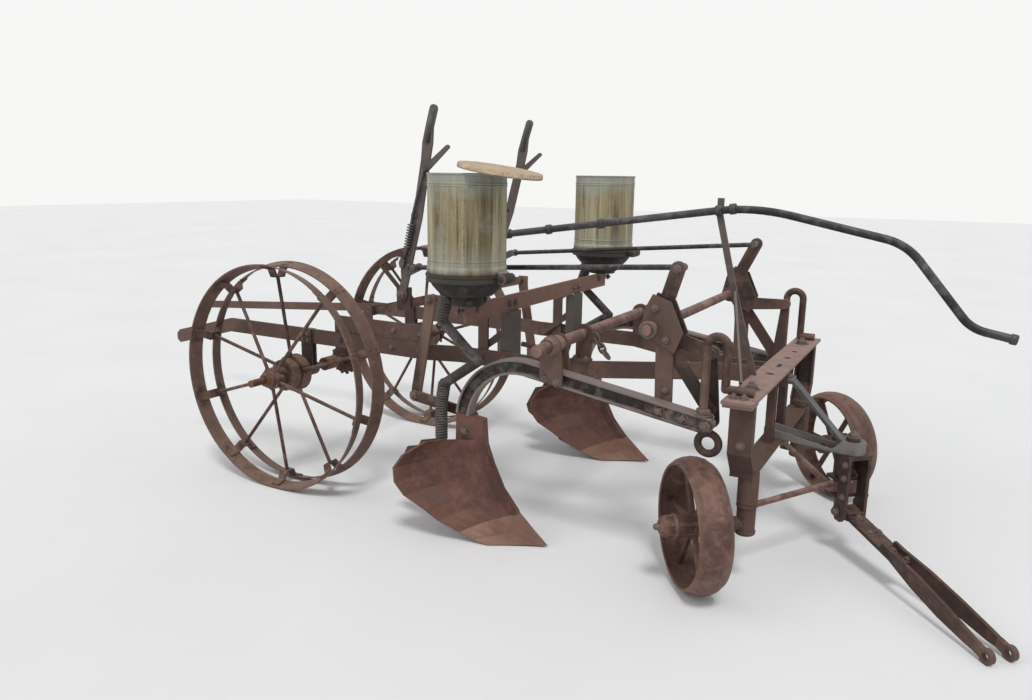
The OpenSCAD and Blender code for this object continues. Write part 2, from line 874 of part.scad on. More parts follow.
// Sections of a plough bottom from the ground up
sec_shin = 0;
sec_shin_z = 1;
sec_edge = 2;
sec_spread = 3;
sec_edge_z = 4;
sec_hollow = 5;
share_sections = [[1290, 8, 1090, 100, 3, 0], [1232, 58, 1040, 112, 16, 8], [1175, 110, 985, 130, 42, 16]];
board_sections = [[1175, 110, 985, 130, 42, 16], [1128, 152, 920, 165, 85, 26],
  [1100, 190, 870, 190, 130, 34], [1076, 232, 800, 212, 175, 42], [1058, 275, 768, 226, 225, 48],
  [1045, 312, 762, 224, 280, 48], [1032, 345, 795, 210, 332, 40], [1005, 364, 860, 160, 380, 22]];
cross_steps = 5;

function board_point(sec, j) = let (
    t = abs(j) / cross_steps,
    h = sec[sec_hollow] * sin(180 * t)
  ) [
    sec[sec_shin] + (sec[sec_edge] - sec[sec_shin]) * t - h,
    sign(j) * sec[sec_spread] * t * (0.75 + 0.25 * t),
    sec[sec_shin_z] + (sec[sec_edge_z] - sec[sec_shin_z]) * t
  ];

// Curved sheet that runs over a table of sections, symmetric about its shin
module curved_sheet(sections, t) {
  cols = 2 * cross_steps + 1;
  rows = len(sections);
  face = [for (sec = sections) for (j = [-cross_steps : cross_steps]) board_point(sec, j)];
  back = [for (p = face) p - [t, 0, 0]];
  m = rows * cols;
  polyhedron(
    points = concat(face, back),
    faces = concat(
      [for (i = [0 : rows - 2]) for (j = [0 : cols - 2])
        [i * cols + j, (i + 1) * cols + j, (i + 1) * cols + j + 1]],
      [for (i = [0 : rows - 2]) for (j = [0 : cols - 2])
        [i * cols + j, (i + 1) * cols + j + 1, i * cols + j + 1]],
      [for (i = [0 : rows - 2]) for (j = [0 : cols - 2])
        [m + i * cols + j, m + (i + 1) * cols + j + 1, m + (i + 1) * cols + j]],
      [for (i = [0 : rows - 2]) for (j = [0 : cols - 2])
        [m + i * cols + j, m + i * cols + j + 1, m + (i + 1) * cols + j + 1]],
      [for (j = [0 : cols - 2]) [j, j + 1, m + j + 1, m + j]],
      [for (j = [0 : cols - 2]) let (k = (rows - 1) * cols + j) [k + 1, k, m + k, m + k + 1]],
      [for (i = [0 : rows - 2]) let (k = i * cols) [k + cols, k, m + k, m + k + cols]],
      [for (i = [0 : rows - 2]) let (k = i * cols + cols - 1) [k, k + cols, m + k + cols, m + k]]
    )
  );
}

frog_front = 68;

module frog(s) {
  top_rear = [arch_x + arch_outer * cos(arch_rear_angle), arch_z + arch_outer * sin(arch_rear_angle)];
  top_front = [arch_x + (arch_inner - 60) * cos(arch_rear_angle),
    arch_z + (arch_inner - 60) * sin(arch_rear_angle)];
  on_side(s)
    translate([0, row_y, 0]) {
      side_plate(-frog_thickness / 2, frog_thickness / 2)
        polygon([top_rear, top_front, [1022, 352], [1052, 275], [1094, 190], [1160, 110],
          [1175 - frog_front - 4, 106], [1290 - frog_front, 9], [960, 9], [940, 150], [895, 340]]);
      curved_sheet(board_sections, mouldboard_thickness);
    }
}

module frog_right() {
  color([0.3, 0.2, 0.19]) placed()
    frog(-1);
}

module frog_left() {
  color([0.3, 0.2, 0.19]) placed()
    frog(1);
}

module share(s) {
  on_side(s)
    translate([0, row_y, 0])
      curved_sheet(share_sections, mouldboard_thickness);
}

module share_right() {
  color([0.38, 0.27, 0.25]) placed()
    share(-1);
}

module share_left() {
  color([0.38, 0.27, 0.25]) placed()
    share(1);
}

module coverers() {
  color([0.17, 0.14, 0.14]) placed()
    for (s = [-1, 1])
      on_side(s)
        for (e = [-1, 1])
          translate([0, row_y, 0])
            mirror([0, e < 0 ? 1 : 0, 0]) {
              side_plate(40, 50)
                polygon([[640, 205], [652, 168], [712, 127], [820, 123], [826, 52], [846, 44], [884, 140],
                  [938, 172], [938, 196], [922, 215], [860, 300], [760, 318], [690, 300]]);
              boss(925, 185, frog_thickness / 2, 41, 12);
            }
}

shaft_post_y1 = row_y - beam_width / 2;
crank_plate = 9;
crank_plate_y = shaft_post_y1 + 1;

module rockshaft() {
  color([0.42, 0.28, 0.22]) placed() {
    boss(rockshaft_x, rockshaft_z, -560, 560, rockshaft_radius);
    for (s = [-1, 1])
      on_side(s)
        boss(rockshaft_x, rockshaft_z, crank_plate_y + crank_plate + 0.5, 545, rockshaft_radius + 9);
  }
}

module shaft_posts() {
  color([0.36, 0.25, 0.22]) placed()
    for (s = [-1, 1])
      on_side(s)
        difference() {
          side_plate(shaft_post_y1 - 10, shaft_post_y1) {
            polygon([[1662, beam_low(1662)], [1721, beam_low(1721)], [1716, 790], [1668, rockshaft_z],
              [1612, rockshaft_z], [1656, 790]]);
            translate([rockshaft_x, rockshaft_z])
              circle(r = 32, $fn = fine);
          }
          boss(rockshaft_x, rockshaft_z, 400, 600, rockshaft_radius + fit);
        }
}

module post_braces() {
  color([0.24, 0.17, 0.16]) placed()
    for (s = [-1, 1])
      on_side(s) {
        side_plate(shaft_post_y1 - 22, shaft_post_y1 - 10)
          strap_2d([1688, 815], [1842, 604], 44);
        boss(1840, 600, shaft_post_y1 - 11, shaft_post_y1, 12);
      }
}

link_top_right = [1838, 792];
link_top_left = [1870, 829];

module crank_outline_2d() {
  polygon([[1603, 852], [1620, 930], [1641, 970], [1703, 949], [1748, 850], [1723, 783], [1660, 815]]);
  translate([rockshaft_x, rockshaft_z])
    circle(r = 34, $fn = fine);
}

module bell_crank(s, eye, lower) {
  on_side(s)
    difference() {
      union() {
        side_plate(crank_y0, crank_y1) {
          crank_outline_2d();
          strap_2d([1672, 940], eye, 48);
          taper_2d([1712, 820], lower, 52, 40);
        }
        side_plate(crank_plate_y, crank_plate_y + crank_plate)
          crank_outline_2d();
        boss(1652, 926, crank_y1 - 1, crank_plate_y + 1, 14);
        boss(rockshaft_x, rockshaft_z, crank_y0 - 14, crank_y1 + 14, 29);
      }
      boss(rockshaft_x, rockshaft_z, 400, 600, rockshaft_radius + fit);
    }
}

module bell_crank_right() {
  color([0.36, 0.25, 0.23]) placed()
    bell_crank(-1, crank_eye_right, link_top_right);
}

module bell_crank_left() {
  color([0.36, 0.25, 0.23]) placed()
    bell_crank(1, crank_eye_left, link_top_left);
}

module depth_links() {
  color([0.33, 0.23, 0.21]) placed()
    for (row = [[-1, link_top_right], [1, link_top_left]])
      on_side(row[0]) {
        side_plate(crank_y1, crank_y1 + 10)
          taper_2d(row[1], [beam_pin_x, beam_pin_z], 30, 46);
        boss(beam_pin_x, beam_pin_z, crank_y1 + 9, row_y - 19, 12);
      }
}

hairpin_bend = 33;
hairpin_foot = 1990;

module hairpins() {
  foot_z = truss_top_z + hairpin_radius + bend_swell;
  color([0.34, 0.24, 0.22]) placed()
    for (row = [[-1, 1867, 823], [1, 1898, 847]]) {
      rear = row[1] - hairpin_bend;
      front = row[1] + hairpin_bend;
      on_side(row[0]) {
        rod([rear, row_y, beam_top(rear - hairpin_radius)], [rear, row_y, row[2]], hairpin_radius);
        translate([row[1], row_y, row[2]])
          rotate([90, 0, 0])
            rotate_extrude(angle = 180, $fn = 96)
              translate([hairpin_bend, 0])
                circle(r = hairpin_radius, $fn = fine);
        bent_rod([[front, row_y, row[2]], [front, row_y, foot_z], [hairpin_foot, row_y, foot_z]],
          hairpin_radius);
      }
    }
}

truss_top_z = rail_top + truss_top_thickness;

truss_near_end = 34;

module truss_top() {
  color([0.5, 0.36, 0.34]) placed()
    translate([truss_x0, -truss_length / 2 - truss_near_end, rail_top])
      cube([truss_x1 - truss_x0, truss_length + truss_near_end, truss_top_thickness]);
}

truss_floor_thickness = 10;
truss_leg_x0 = 1922;
truss_leg_x1 = 1998;

module truss_posts() {
  color([0.33, 0.22, 0.2]) placed()
    for (s = [-1, 1])
      on_side(s) {
        cross_plate(truss_leg_x0, truss_leg_x1)
          strip_2d([[545, rail_top], [545, 490], [kingpin_y + 40, truss_floor + 10],
            [kingpin_y + 40, truss_floor - truss_floor_thickness]], 12);
        for (x = [truss_leg_x0, truss_leg_x1 - 8])
          cross_plate(x, x + 8)
            strip_2d([[529, rail_top], [529, 484], [kingpin_y + 34, truss_floor + 21]], 20);
        for (y = [76, 104])
          translate([1946, y, truss_floor])
            cube([28, 14, rail_top - truss_floor]);
      }
}

module truss_bottom() {
  color([0.45, 0.33, 0.28]) placed()
    difference() {
      union() {
        translate([truss_leg_x0, -kingpin_y - 12, truss_floor - truss_floor_thickness])
          cube([truss_leg_x1 - truss_leg_x0, 2 * kingpin_y + 24, truss_floor_thickness]);
        for (s = [-1, 1])
          on_side(s)
            translate([kingpin_x, kingpin_y, 300])
              cylinder(h = truss_floor - 301, r = kingpin_radius + 20, $fn = fine);
      }
      for (s = [-1, 1])
        on_side(s)
          translate([kingpin_x, kingpin_y, 290])
            cylinder(h = 200, r = kingpin_radius + fit, $fn = fine);
    }
}

nose_z0 = 384.3;
nose_z1 = 428;

module hitch_braces() {
  color([0.36, 0.36, 0.35]) placed()
    difference() {
      union() {
        translate([head_x, 0, nose_z0])
          cylinder(h = nose_z1 - nose_z0, r = 44, $fn = fine);
        cross_brace_end = [head_x - 36, nose_z1 - 7];
        rotate([90, 0, 0])
          translate([0, 0, -28])
            linear_extrude(height = 56)
              strip_2d([[1976, 618], [2014, 618], cross_brace_end, [head_x, nose_z1 - 7]], 12);
        for (s = [-1, 1])
          on_side(s)
            side_plate(36, 48)
              polygon([[1930, truss_floor], [truss_leg_x1, truss_floor], [head_x - 74, nose_z0 + 2],
                [head_x + 10, nose_z0 + 2], [head_x + 10, nose_z1], [head_x - 36, nose_z1],
                [head_x - 64, truss_floor - 7], [1930, truss_floor + 38]]);
      }
      translate([head_x, 0, 300])
        cylinder(h = 200, r = 15 + fit, $fn = fine);
    }
}

knuckle_z = front_wheel_radius;
front_hub_in = 64;
front_hub_out = 120;
front_hub_radius = 37;
front_spoke_radius = 11;

// The two drag links cross behind the head, one above the other
function link_z(s) = s < 0 ? arm_z : arm_z - link_drop;

arm_length = 60;
arm_angle = 148;
arm_z = 262;
link_drop = 28;
arm_pin_radius = 8;
arm_thickness = 14;

module knuckle(s, turn) {
  translate([kingpin_x, s * kingpin_y, 0])
    rotate([0, 0, turn]) {
      cylinder_from(knuckle_z - 36, 299.7, 31);
      cylinder_from(280, truss_floor + 12, kingpin_radius);
      cylinder_from(truss_floor + 0.3, truss_floor + 12, kingpin_radius + 8);
      translate([0, 0, knuckle_z])
        rotate([s > 0 ? -90 : 90, 0, 0]) {
          cylinder(h = front_wheel_offset - front_hub_in - 6, r = stub_radius + 8, $fn = fine);
          cylinder(h = front_wheel_offset + front_hub_out - 20, r = stub_radius, $fn = fine);
        }
      rotate([0, 0, s > 0 ? -arm_angle : arm_angle]) {
        translate([0, -16, link_z(s) - 12 - arm_thickness])
          cube([arm_length, 32, arm_thickness]);
        translate([arm_length, 0, link_z(s) - 12 - arm_thickness])
          cylinder(h = arm_thickness, r = 16, $fn = fine);
        translate([arm_length, 0, link_z(s) - 14])
          cylinder(h = 28, r = arm_pin_radius, $fn = fine);
      }
    }
}

module cylinder_from(z0, z1, r) {
  translate([0, 0, z0])
    cylinder(h = z1 - z0, r = r, $fn = fine);
}

module knuckle_right() {
  color([0.38, 0.24, 0.18]) placed()
    knuckle(-1, near_turn);
}

module knuckle_left() {
  color([0.38, 0.24, 0.18]) placed()
    knuckle(1, far_turn);
}

// Rim with a crowned face, and a long hub that is closed and rounded at its outer end
module front_wheel(s, turn) {
  w = front_wheel_width / 2;
  inner = front_wheel_radius - front_rim_thickness;
  translate([kingpin_x, s * kingpin_y, knuckle_z])
    rotate([0, 0, turn])
      translate([0, s * front_wheel_offset, 0])
        rotate([s > 0 ? -90 : 90, 0, 0]) {
          rotate_extrude($fn = 96)
            polygon([[front_wheel_radius - 20, -w], [front_wheel_radius - 8, -w * 0.7],
              [front_wheel_radius - 2, -w * 0.36], [front_wheel_radius, 0],
              [front_wheel_radius - 2, w * 0.36], [front_wheel_radius - 8, w * 0.7],
              [front_wheel_radius - 20, w], [inner - 20, w], [inner - 8, w * 0.7], [inner - 2, w * 0.36],
              [inner, 0], [inner - 2, -w * 0.36], [inner - 8, -w * 0.7], [inner - 20, -w]]);
          rotate_extrude($fn = 96)
            polygon([[stub_radius + fit, -front_hub_in], [front_hub_radius, -front_hub_in],
              [front_hub_radius, front_hub_out - 26], [front_hub_radius - 5, front_hub_out - 12],
              [front_hub_radius - 14, front_hub_out - 3], [front_hub_radius - 24, front_hub_out],
              [0, front_hub_out], [0, front_hub_out - 16], [stub_radius + fit, front_hub_out - 16]]);
          for (i = [0 : front_spoke_count - 1])
            rotate([0, 0, i * 360 / front_spoke_count])
              rotate([0, 90, 0])
                translate([0, 0, front_hub_radius - 8])
                  cylinder(h = inner + 4 - front_hub_radius + 8, r = front_spoke_radius, $fn = fine);
        }
}

module front_wheel_right() {
  color([0.4, 0.27, 0.23]) placed()
    front_wheel(-1, near_turn);
}

module front_wheel_left() {
  color([0.4, 0.27, 0.23]) placed()
    front_wheel(1, far_turn);
}

function turned(v, a) = [v[0] * cos(a) - v[1] * sin(a), v[0] * sin(a) + v[1] * cos(a)];

link_radius = 11;
link_length = 514.6;
link_play = 3.2;

module drag_link(s, turn) {
  arm = [kingpin_x, s * kingpin_y] + turned(arm_length * [cos(arm_angle), s * -sin(arm_angle)], turn);
  pin = [head_x, 0] + turned(arm_length * [cos(arm_angle), s * -sin(arm_angle)], head_turn);
  a = unit(pin - arm);
  z = link_z(s);
  eye = arm + link_length * a;
  difference() {
    union() {
      rod([arm[0] + 8 * a[0], arm[1] + 8 * a[1], z], [eye[0] - 14 * a[0], eye[1] - 14 * a[1], z],
        link_radius);
      for (p = [arm, eye])
        translate([p[0], p[1], z - link_radius])
          cylinder(h = 2 * link_radius, r = arm_pin_radius + link_play + 8, $fn = fine);
    }
    translate([arm[0], arm[1], z - 40])
      cylinder(h = 80, r = arm_pin_radius + fit, $fn = fine);
    translate([eye[0], eye[1], z - 40])
      cylinder(h = 80, r = arm_pin_radius + link_play, $fn = fine);
  }
}

module drag_link_right() {
  color([0.45, 0.3, 0.24]) placed()
    drag_link(-1, near_turn);
}

module drag_link_left() {
  color([0.45, 0.3, 0.24]) placed()
    drag_link(1, far_turn);
}

head_bottom = 133;
head_top = 384;

module hitch_head() {
  color([0.33, 0.22, 0.19]) placed()
    translate([head_x, 0, 0])
      rotate([0, 0, head_turn]) {
        for (y = [-46, 34])
          difference() {
            side_plate(y, y + 12)
              polygon([[-12, head_bottom + 20], [0, head_bottom], [30, head_bottom], [50, head_bottom + 20],
                [50, head_top], [-34, head_top], [-34, head_top - 60], [0, head_top - 88],
                [0, arm_z - 47], [-12, arm_z - 62]]);
            boss(9, tongue_pin_z, y - 1, y + 13, 11 + fit);
          }
        translate([-34, -46, head_top - 14])
          cube([84, 92, 14]);
        translate([-34, -46, head_top - 100])
          cube([12, 92, 100]);
        cylinder_from(head_top - 1, nose_z1 + 0.3, 15);
        cylinder_from(nose_z1 + 0.3, nose_z1 + 14, 24);
        rotate([0, 0, arm_angle])
          translate([arm_length, 0, arm_z - 12])
            cylinder(h = 28, r = arm_pin_radius, $fn = fine);
        rotate([0, 0, -arm_angle])
          translate([arm_length, 0, arm_z - link_drop - 16])
            cylinder(h = 28, r = arm_pin_radius, $fn = fine);
        translate([-arm_length - 8, -46, arm_z + 12])
          cube([62, 92, 12]);
        translate([-arm_length - 8, -46, arm_z - link_drop - 24])
          cube([62, 92, 12]);
      }
}

eye_radius = hitch_bore / 2 + 11;
eye_back = 30;
tongue_fall = asin((tongue_pin_z - eye_radius) / (tongue_length - eye_back));

module tongue() {
  color([0.36, 0.3, 0.28]) placed()
    translate([head_x, 0, tongue_pin_z])
      rotate([0, 0, head_turn])
        translate([9, 0, 0])
          rotate([0, tongue_fall, 0]) {
            boss(0, 0, -50, 50, 11);
            translate([-14, -33, -14])
              cube([60, 66, 28]);
            translate([40, -33, -8])
              cube([tongue_length * 0.42 - 40, 66, 14]);
            for (e = [-1, 1])
              difference() {
                union() {
                  flat_bar([tongue_length * 0.3, e * 24, 11], [tongue_length - 60, e * 40, 0], 12, 30, 90);
                  boss(tongue_length - eye_back, 0, e * 40 - 9, e * 40 + 9, eye_radius);
                  translate([tongue_length - 75, e * 40 - 9, -15])
                    cube([45, 18, 30]);
                }
                boss(tongue_length - eye_back, 0, -80, 80, hitch_bore / 2);
              }
          }
}

hopper_floor = base_top + 0.3;

module hopper(s) {
  on_side(s)
    translate([0, hopper_y, 0]) {
      translate([base_x, 0, hopper_floor])
        rotate_extrude($fn = 96)
          polygon([[0, 0], [hopper_radius, 0], [hopper_radius, hopper_height],
            [hopper_radius - hopper_wall, hopper_height], [hopper_radius - hopper_wall, 4], [0, 4]]);
      difference() {
        union() {
          boss(hinge_x, hinge_z, -19.7, 19.7, hinge_radius + 7);
          translate([base_x + hopper_radius - 2, -19.7, hopper_floor])
            cube([hinge_x - base_x - hopper_radius + 2, 39.4, 12]);
        }
      }
      boss(hinge_x, hinge_z, -44, 44, hinge_radius);
    }
}

module hopper_right() {
  color([0.62, 0.58, 0.46]) placed()
    hopper(-1);
}

module hopper_left() {
  color([0.62, 0.58, 0.46]) placed()
    hopper(1);
}

lid_tilt = 9.6;

module hopper_lid() {
  color([0.76, 0.68, 0.56]) placed()
    translate([base_x + hopper_radius, -hopper_y, hopper_floor + hopper_height + 0.3])
      rotate([0, lid_tilt, 0])
        translate([-8, 0, 0])
          cylinder(h = lid_thickness, r = lid_radius, $fn = 96);
}

main_rail_right();
main_rail_left();
side_plates();
axle_hangers();
rear_axle();
drive_sprocket();
cross_plank();
plank_posts();
plank_braces();
seed_base_right();
seed_base_left();
seed_tube_right();
seed_tube_left();
lever_right();
lever_left();
quadrants();
lever_bars();
hanger_straps();
depth_rod_right();
depth_rod_left();
trip_pipe();
trip_guide();
cross_pipe();
pipe_brackets();
beam_right();
beam_left();
beam_ears();
frog_right();
frog_left();
share_right();
share_left();
coverers();
rockshaft();
shaft_posts();
post_braces();
bell_crank_right();
bell_crank_left();
depth_links();
hairpins();
truss_top();
truss_posts();
truss_bottom();
hitch_braces();
rear_wheel_right();
rear_wheel_left();
knuckle_right();
knuckle_left();
front_wheel_right();
front_wheel_left();
drag_link_right();
drag_link_left();
hitch_head();
tongue();
hopper_right();
hopper_left();
hopper_lid();
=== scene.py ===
# Looks of the two-row lister planter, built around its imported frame
import math
import random
import bpy
import bmesh
from mathutils import Matrix, Vector


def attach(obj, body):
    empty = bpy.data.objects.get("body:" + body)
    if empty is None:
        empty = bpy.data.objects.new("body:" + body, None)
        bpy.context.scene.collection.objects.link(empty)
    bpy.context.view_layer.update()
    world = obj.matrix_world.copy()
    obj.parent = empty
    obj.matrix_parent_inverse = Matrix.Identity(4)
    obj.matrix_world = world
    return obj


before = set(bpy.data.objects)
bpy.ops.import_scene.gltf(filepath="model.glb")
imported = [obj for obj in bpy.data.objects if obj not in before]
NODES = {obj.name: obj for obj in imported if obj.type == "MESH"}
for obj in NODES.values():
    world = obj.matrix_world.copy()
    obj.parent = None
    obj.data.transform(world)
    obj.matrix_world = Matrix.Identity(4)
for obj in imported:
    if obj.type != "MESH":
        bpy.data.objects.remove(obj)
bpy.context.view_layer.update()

# Places are given in millimetres from the ground under the rear axle
MIDDLE = (606.5, 0.0)
X, Y, Z = Vector((1, 0, 0)), Vector((0, 1, 0)), Vector((0, 0, 1))
SIDES = ((-1, "right"), (1, "left"))

# Sizes that several pieces share, in millimetres and degrees
AXLE_Z = 486                            # height of the rear axle
WHEEL_Y = 546                           # middle of a rear wheel
BEAM_Y = 533.5                          # middle of a beam and of its row
FROG_FACE = 551.5                       # outer face of a frog's bar
HOPPER_X, HOPPER_Y = 980, 603           # axis of a hopper
HOPPER_TOP = 1004.3 + 342               # foot and height of a hopper
HINGE_X, HINGE_Z = 1140, 992            # pin on which a hopper tips
LID_TILT = 9.6
LEVER_X, LEVER_Z = 519, 860             # pivot of the depth levers
LEVER_FACE, LATCH_Y = 378, 388          # outer face of a lever, and its latch rod
TRIP_Y = -250                           # trip pipe
RAIL_TOP, TRUSS_TOP = 667, 677          # tops of the rails and of the truss's top plate
KINGPIN_X, KINGPIN_Y = 1975, 449
HEAD_X, HEAD_TURN = 2234, -46.6         # hitch head, as it stands turned
TONGUE_FALL = 11.57                     # slope of the tongue as it rests


def at(x, y, z):
    return Vector(((x - MIDDLE[0]) / 1000, (y - MIDDLE[1]) / 1000, z / 1000))


def turned(v, degrees):
    return Matrix.Rotation(math.radians(degrees), 3, "Z") @ Vector(v)


def level(degrees):
    """Level direction at an angle from forward."""
    t = math.radians(degrees)
    return Vector((math.cos(t), math.sin(t), 0))


def beam_z(x):
    """Height of a sloping beam's middle line."""
    return 669.1 - (x - 1202.1) * 0.15658


# Camera
camera = bpy.data.objects.new("camera", bpy.data.cameras.new("camera"))
bpy.context.scene.collection.objects.link(camera)
camera.data.sensor_width = 36
camera.data.lens = 28.14
camera.data.clip_start = 0.05
camera.data.clip_end = 60
right = Vector((0.87157, 0.49008, 0.01336)).normalized()
forward = Vector((-0.47678, 0.85363, -0.20978)).normalized()
up = right.cross(forward)
turn = Matrix((right, up, -forward)).transposed()
camera.matrix_world = Matrix.Translation(at(2521.4, -3000.9, 1335.8)) @ turn.to_4x4()
bpy.context.scene.camera = camera
bpy.context.scene.view_settings.view_transform = "Standard"


# Small helpers for node materials
class Tree:
    def __init__(self, name, offset=(0, 0, 0)):
        self.mat = bpy.data.materials.new(name)
        self.mat.use_nodes = True
        self.nt = self.mat.node_tree
        self.bsdf = self.nt.nodes["Principled BSDF"]
        self.coord = self.nt.nodes.new("ShaderNodeTexCoord")
        self.geo = self.nt.nodes.new("ShaderNodeNewGeometry")
        self.base = self.vector(offset=offset)

    def link(self, a, b):
        self.nt.links.new(a, b)

    def vector(self, scale=(1, 1, 1), offset=(0, 0, 0)):
        m = self.nt.nodes.new("ShaderNodeMapping")
        m.inputs["Scale"].default_value = scale
        m.inputs["Location"].default_value = offset
        self.link(self.coord.outputs["Object"], m.inputs["Vector"])
        return m.outputs[0]

    def noise(self, scale, detail=4, rough=0.55, vec=None, warp=0):
        n = self.nt.nodes.new("ShaderNodeTexNoise")
        n.inputs["Scale"].default_value = scale
        n.inputs["Detail"].default_value = detail
        n.inputs["Roughness"].default_value = rough
        n.inputs["Distortion"].default_value = warp
        self.link(vec if vec else self.base, n.inputs["Vector"])
        return n.outputs["Fac"]

    def ramp(self, fac, stops):
        r = self.nt.nodes.new("ShaderNodeValToRGB")
        e = r.color_ramp.elements
        while len(e) < len(stops):
            e.new(0.5)
        for k, (p, c) in enumerate(stops):
            e[k].position = p
            e[k].color = (*c, 1)
        self.link(fac, r.inputs[0])
        return r.outputs[0]

    def mask(self, fac, lo, hi):
        m = self.nt.nodes.new("ShaderNodeMapRange")
        m.inputs["From Min"].default_value = lo
        m.inputs["From Max"].default_value = hi
        self.link(fac, m.inputs["Value"])
        return m.outputs[0]

    def math(self, op, a, b):
        m = self.nt.nodes.new("ShaderNodeMath")
        m.operation = op
        for k, v in enumerate((a, b)):
            if isinstance(v, (int, float)):
                m.inputs[k].default_value = v
            else:
                self.link(v, m.inputs[k])
        return m.outputs[0]

    def mul(self, a, b):
        return self.math("MULTIPLY", a, b)

    def add(self, a, b):
        return self.math("ADD", a, b)

    def mix(self, fac, a, b):
        m = self.nt.nodes.new("ShaderNodeMix")
        m.data_type = "RGBA"
        for k, v in ((0, fac), (6, a), (7, b)):
            if isinstance(v, tuple):
                m.inputs[k].default_value = (*v, 1)
            else:
                self.link(v, m.inputs[k])
        return m.outputs[2]

    def height(self, output):
        """The upward part of a vector."""
        s = self.nt.nodes.new("ShaderNodeSeparateXYZ")
        self.link(output, s.inputs[0])
        return s.outputs["Z"]

    def roughness(self, fac, low, high):
        """Roughness that runs from low to high with a mask."""
        grey = self.ramp(fac, [(0.3, (low,) * 3), (0.7, (high,) * 3)])
        self.link(grey, self.bsdf.inputs["Roughness"])

    def finish(self, colour, metal=None, bump=None):
        """Connects the colour and the bump, given as height, strength and distance."""
        self.link(colour, self.bsdf.inputs["Base Color"])
        if metal is not None:
            self.bsdf.inputs["Metallic"].default_value = metal
        if bump:
            b = self.nt.nodes.new("ShaderNodeBump")
            b.inputs["Strength"].default_value = bump[1]
            b.inputs["Distance"].default_value = bump[2]
            self.link(bump[0], b.inputs["Height"])
            self.link(b.outputs[0], self.bsdf.inputs["Normal"])
        return self.mat


def lin(h):
    """A colour written as seen on a screen, as the renderer's linear values."""
    v = [int(h[i:i + 2], 16) / 255 for i in (0, 2, 4)]
    return tuple(c / 12.92 if c <= 0.04045 else ((c + 0.055) / 1.055) ** 2.4 for c in v)


def iron(name, dark, mid, light, orange="8f5233", seed=0, top=0.5, edge=0.5, rust=0.35,
         paint=None, paint_amount=0.5, metal=0.15, rough=(0.55, 0.85), streaks=0.3, pits=0.5,
         scale=1.0):
    """Rusted iron: mottled dark coat, tops paler with dust and a painted highlight, edges paler
    with wear and a painted highlight, orange spots, remnants of paint.
    """
    t = Tree(name, offset=(seed * 3.7, seed * 1.9, seed * 5.3))
    big = t.noise(4.5 * scale, 3, 0.55)
    mottle = t.noise(26 * scale, 8, 0.62, warp=0.6)
    grain = t.noise(190 * scale, 4, 0.6)
    spots = t.noise(11 * scale, 9, 0.68, warp=0.4)
    run = t.noise(1.0, 5, 0.6, t.vector((34, 34, 3.2), (seed, seed, seed)))
    tone = t.add(t.mul(big, 0.4), t.mul(mottle, 0.6))
    col = t.ramp(tone, [(0.36, lin(dark)), (0.5, lin(mid)), (0.66, lin(light))])
    col = t.mix(t.mul(t.mask(run, 0.5, 0.72), streaks), col, lin(dark))
    if paint:
        cover = t.mask(t.add(t.mul(spots, 0.7), t.mul(big, 0.3)),
                       0.56 - 0.2 * paint_amount, 0.6 - 0.2 * paint_amount)
        coat = t.ramp(mottle, [(0.35, lin(paint[0])), (0.65, lin(paint[1]))])
        col = t.mix(cover, col, coat)
    # Upward faces are mixed toward the light colour: dust, and a painted highlight on the tops.
    lift = t.mask(t.height(t.geo.outputs["Normal"]), 0.35, 0.95)
    dust_and_top_light = t.mul(t.mul(lift, top), t.mask(mottle, 0.3, 0.6))
    col = t.mix(dust_and_top_light, col, lin(light))
    col = t.mix(t.mul(t.mask(spots, 0.56, 0.66), rust), col, lin(orange))
    # Sharp edges are mixed toward the light colour: rubbed wear, and a painted highlight along the
    # edges.
    worn = t.mul(t.mask(t.geo.outputs["Pointiness"], 0.51, 0.6), edge)
    col = t.mix(worn, col, lin(light))
    t.roughness(mottle, *rough)
    return t.finish(col, metal, (t.add(t.mul(grain, 0.35), t.mul(mottle, 0.65)), pits, 0.0025))


def sheet_metal(name):
    """Old galvanised sheet: pale, with yellow and brown runs down it, and rust at its foot."""
    t = Tree(name)
    fine = t.noise(1.0, 6, 0.65, t.vector((95, 95, 3.0)))
    wide = t.noise(1.0, 5, 0.6, t.vector((22, 22, 1.4)), warp=0.3)
    cloud = t.noise(7, 6, 0.6)
    speck = t.noise(120, 3, 0.6)
    col = t.ramp(wide, [(0.34, lin("6b6249")), (0.48, lin("938868")), (0.6, lin("aea385")),
                        (0.72, lin("c2baa2"))])
    col = t.mix(t.mul(t.mask(fine, 0.52, 0.68), 0.85), col, lin("57492f"))
    col = t.mix(t.mul(t.mask(cloud, 0.52, 0.7), 0.6), col, lin("a3a69c"))
    z = t.height(t.coord.outputs["Object"])
    cloudy = t.add(z, t.mul(cloud, 0.09))
    band = t.add(t.mul(t.mask(cloudy, 1.3, 1.36), 0.65), t.mul(t.mask(cloudy, 1.15, 1.09), 0.4))
    col = t.mix(band, col, lin("9a9f98"))
    foot = t.mask(t.add(z, t.mul(wide, 0.12)), 1.075, 1.03)
    col = t.mix(t.mul(foot, 0.85), col, lin("86532f"))
    col = t.mix(t.mul(t.mask(speck, 0.63, 0.7), 0.5), col, lin("3f3629"))
    t.roughness(wide, 0.72, 0.48)
    return t.finish(col, 0.35, (t.add(t.mul(fine, 0.5), t.mul(cloud, 0.5)), 0.25, 0.002))


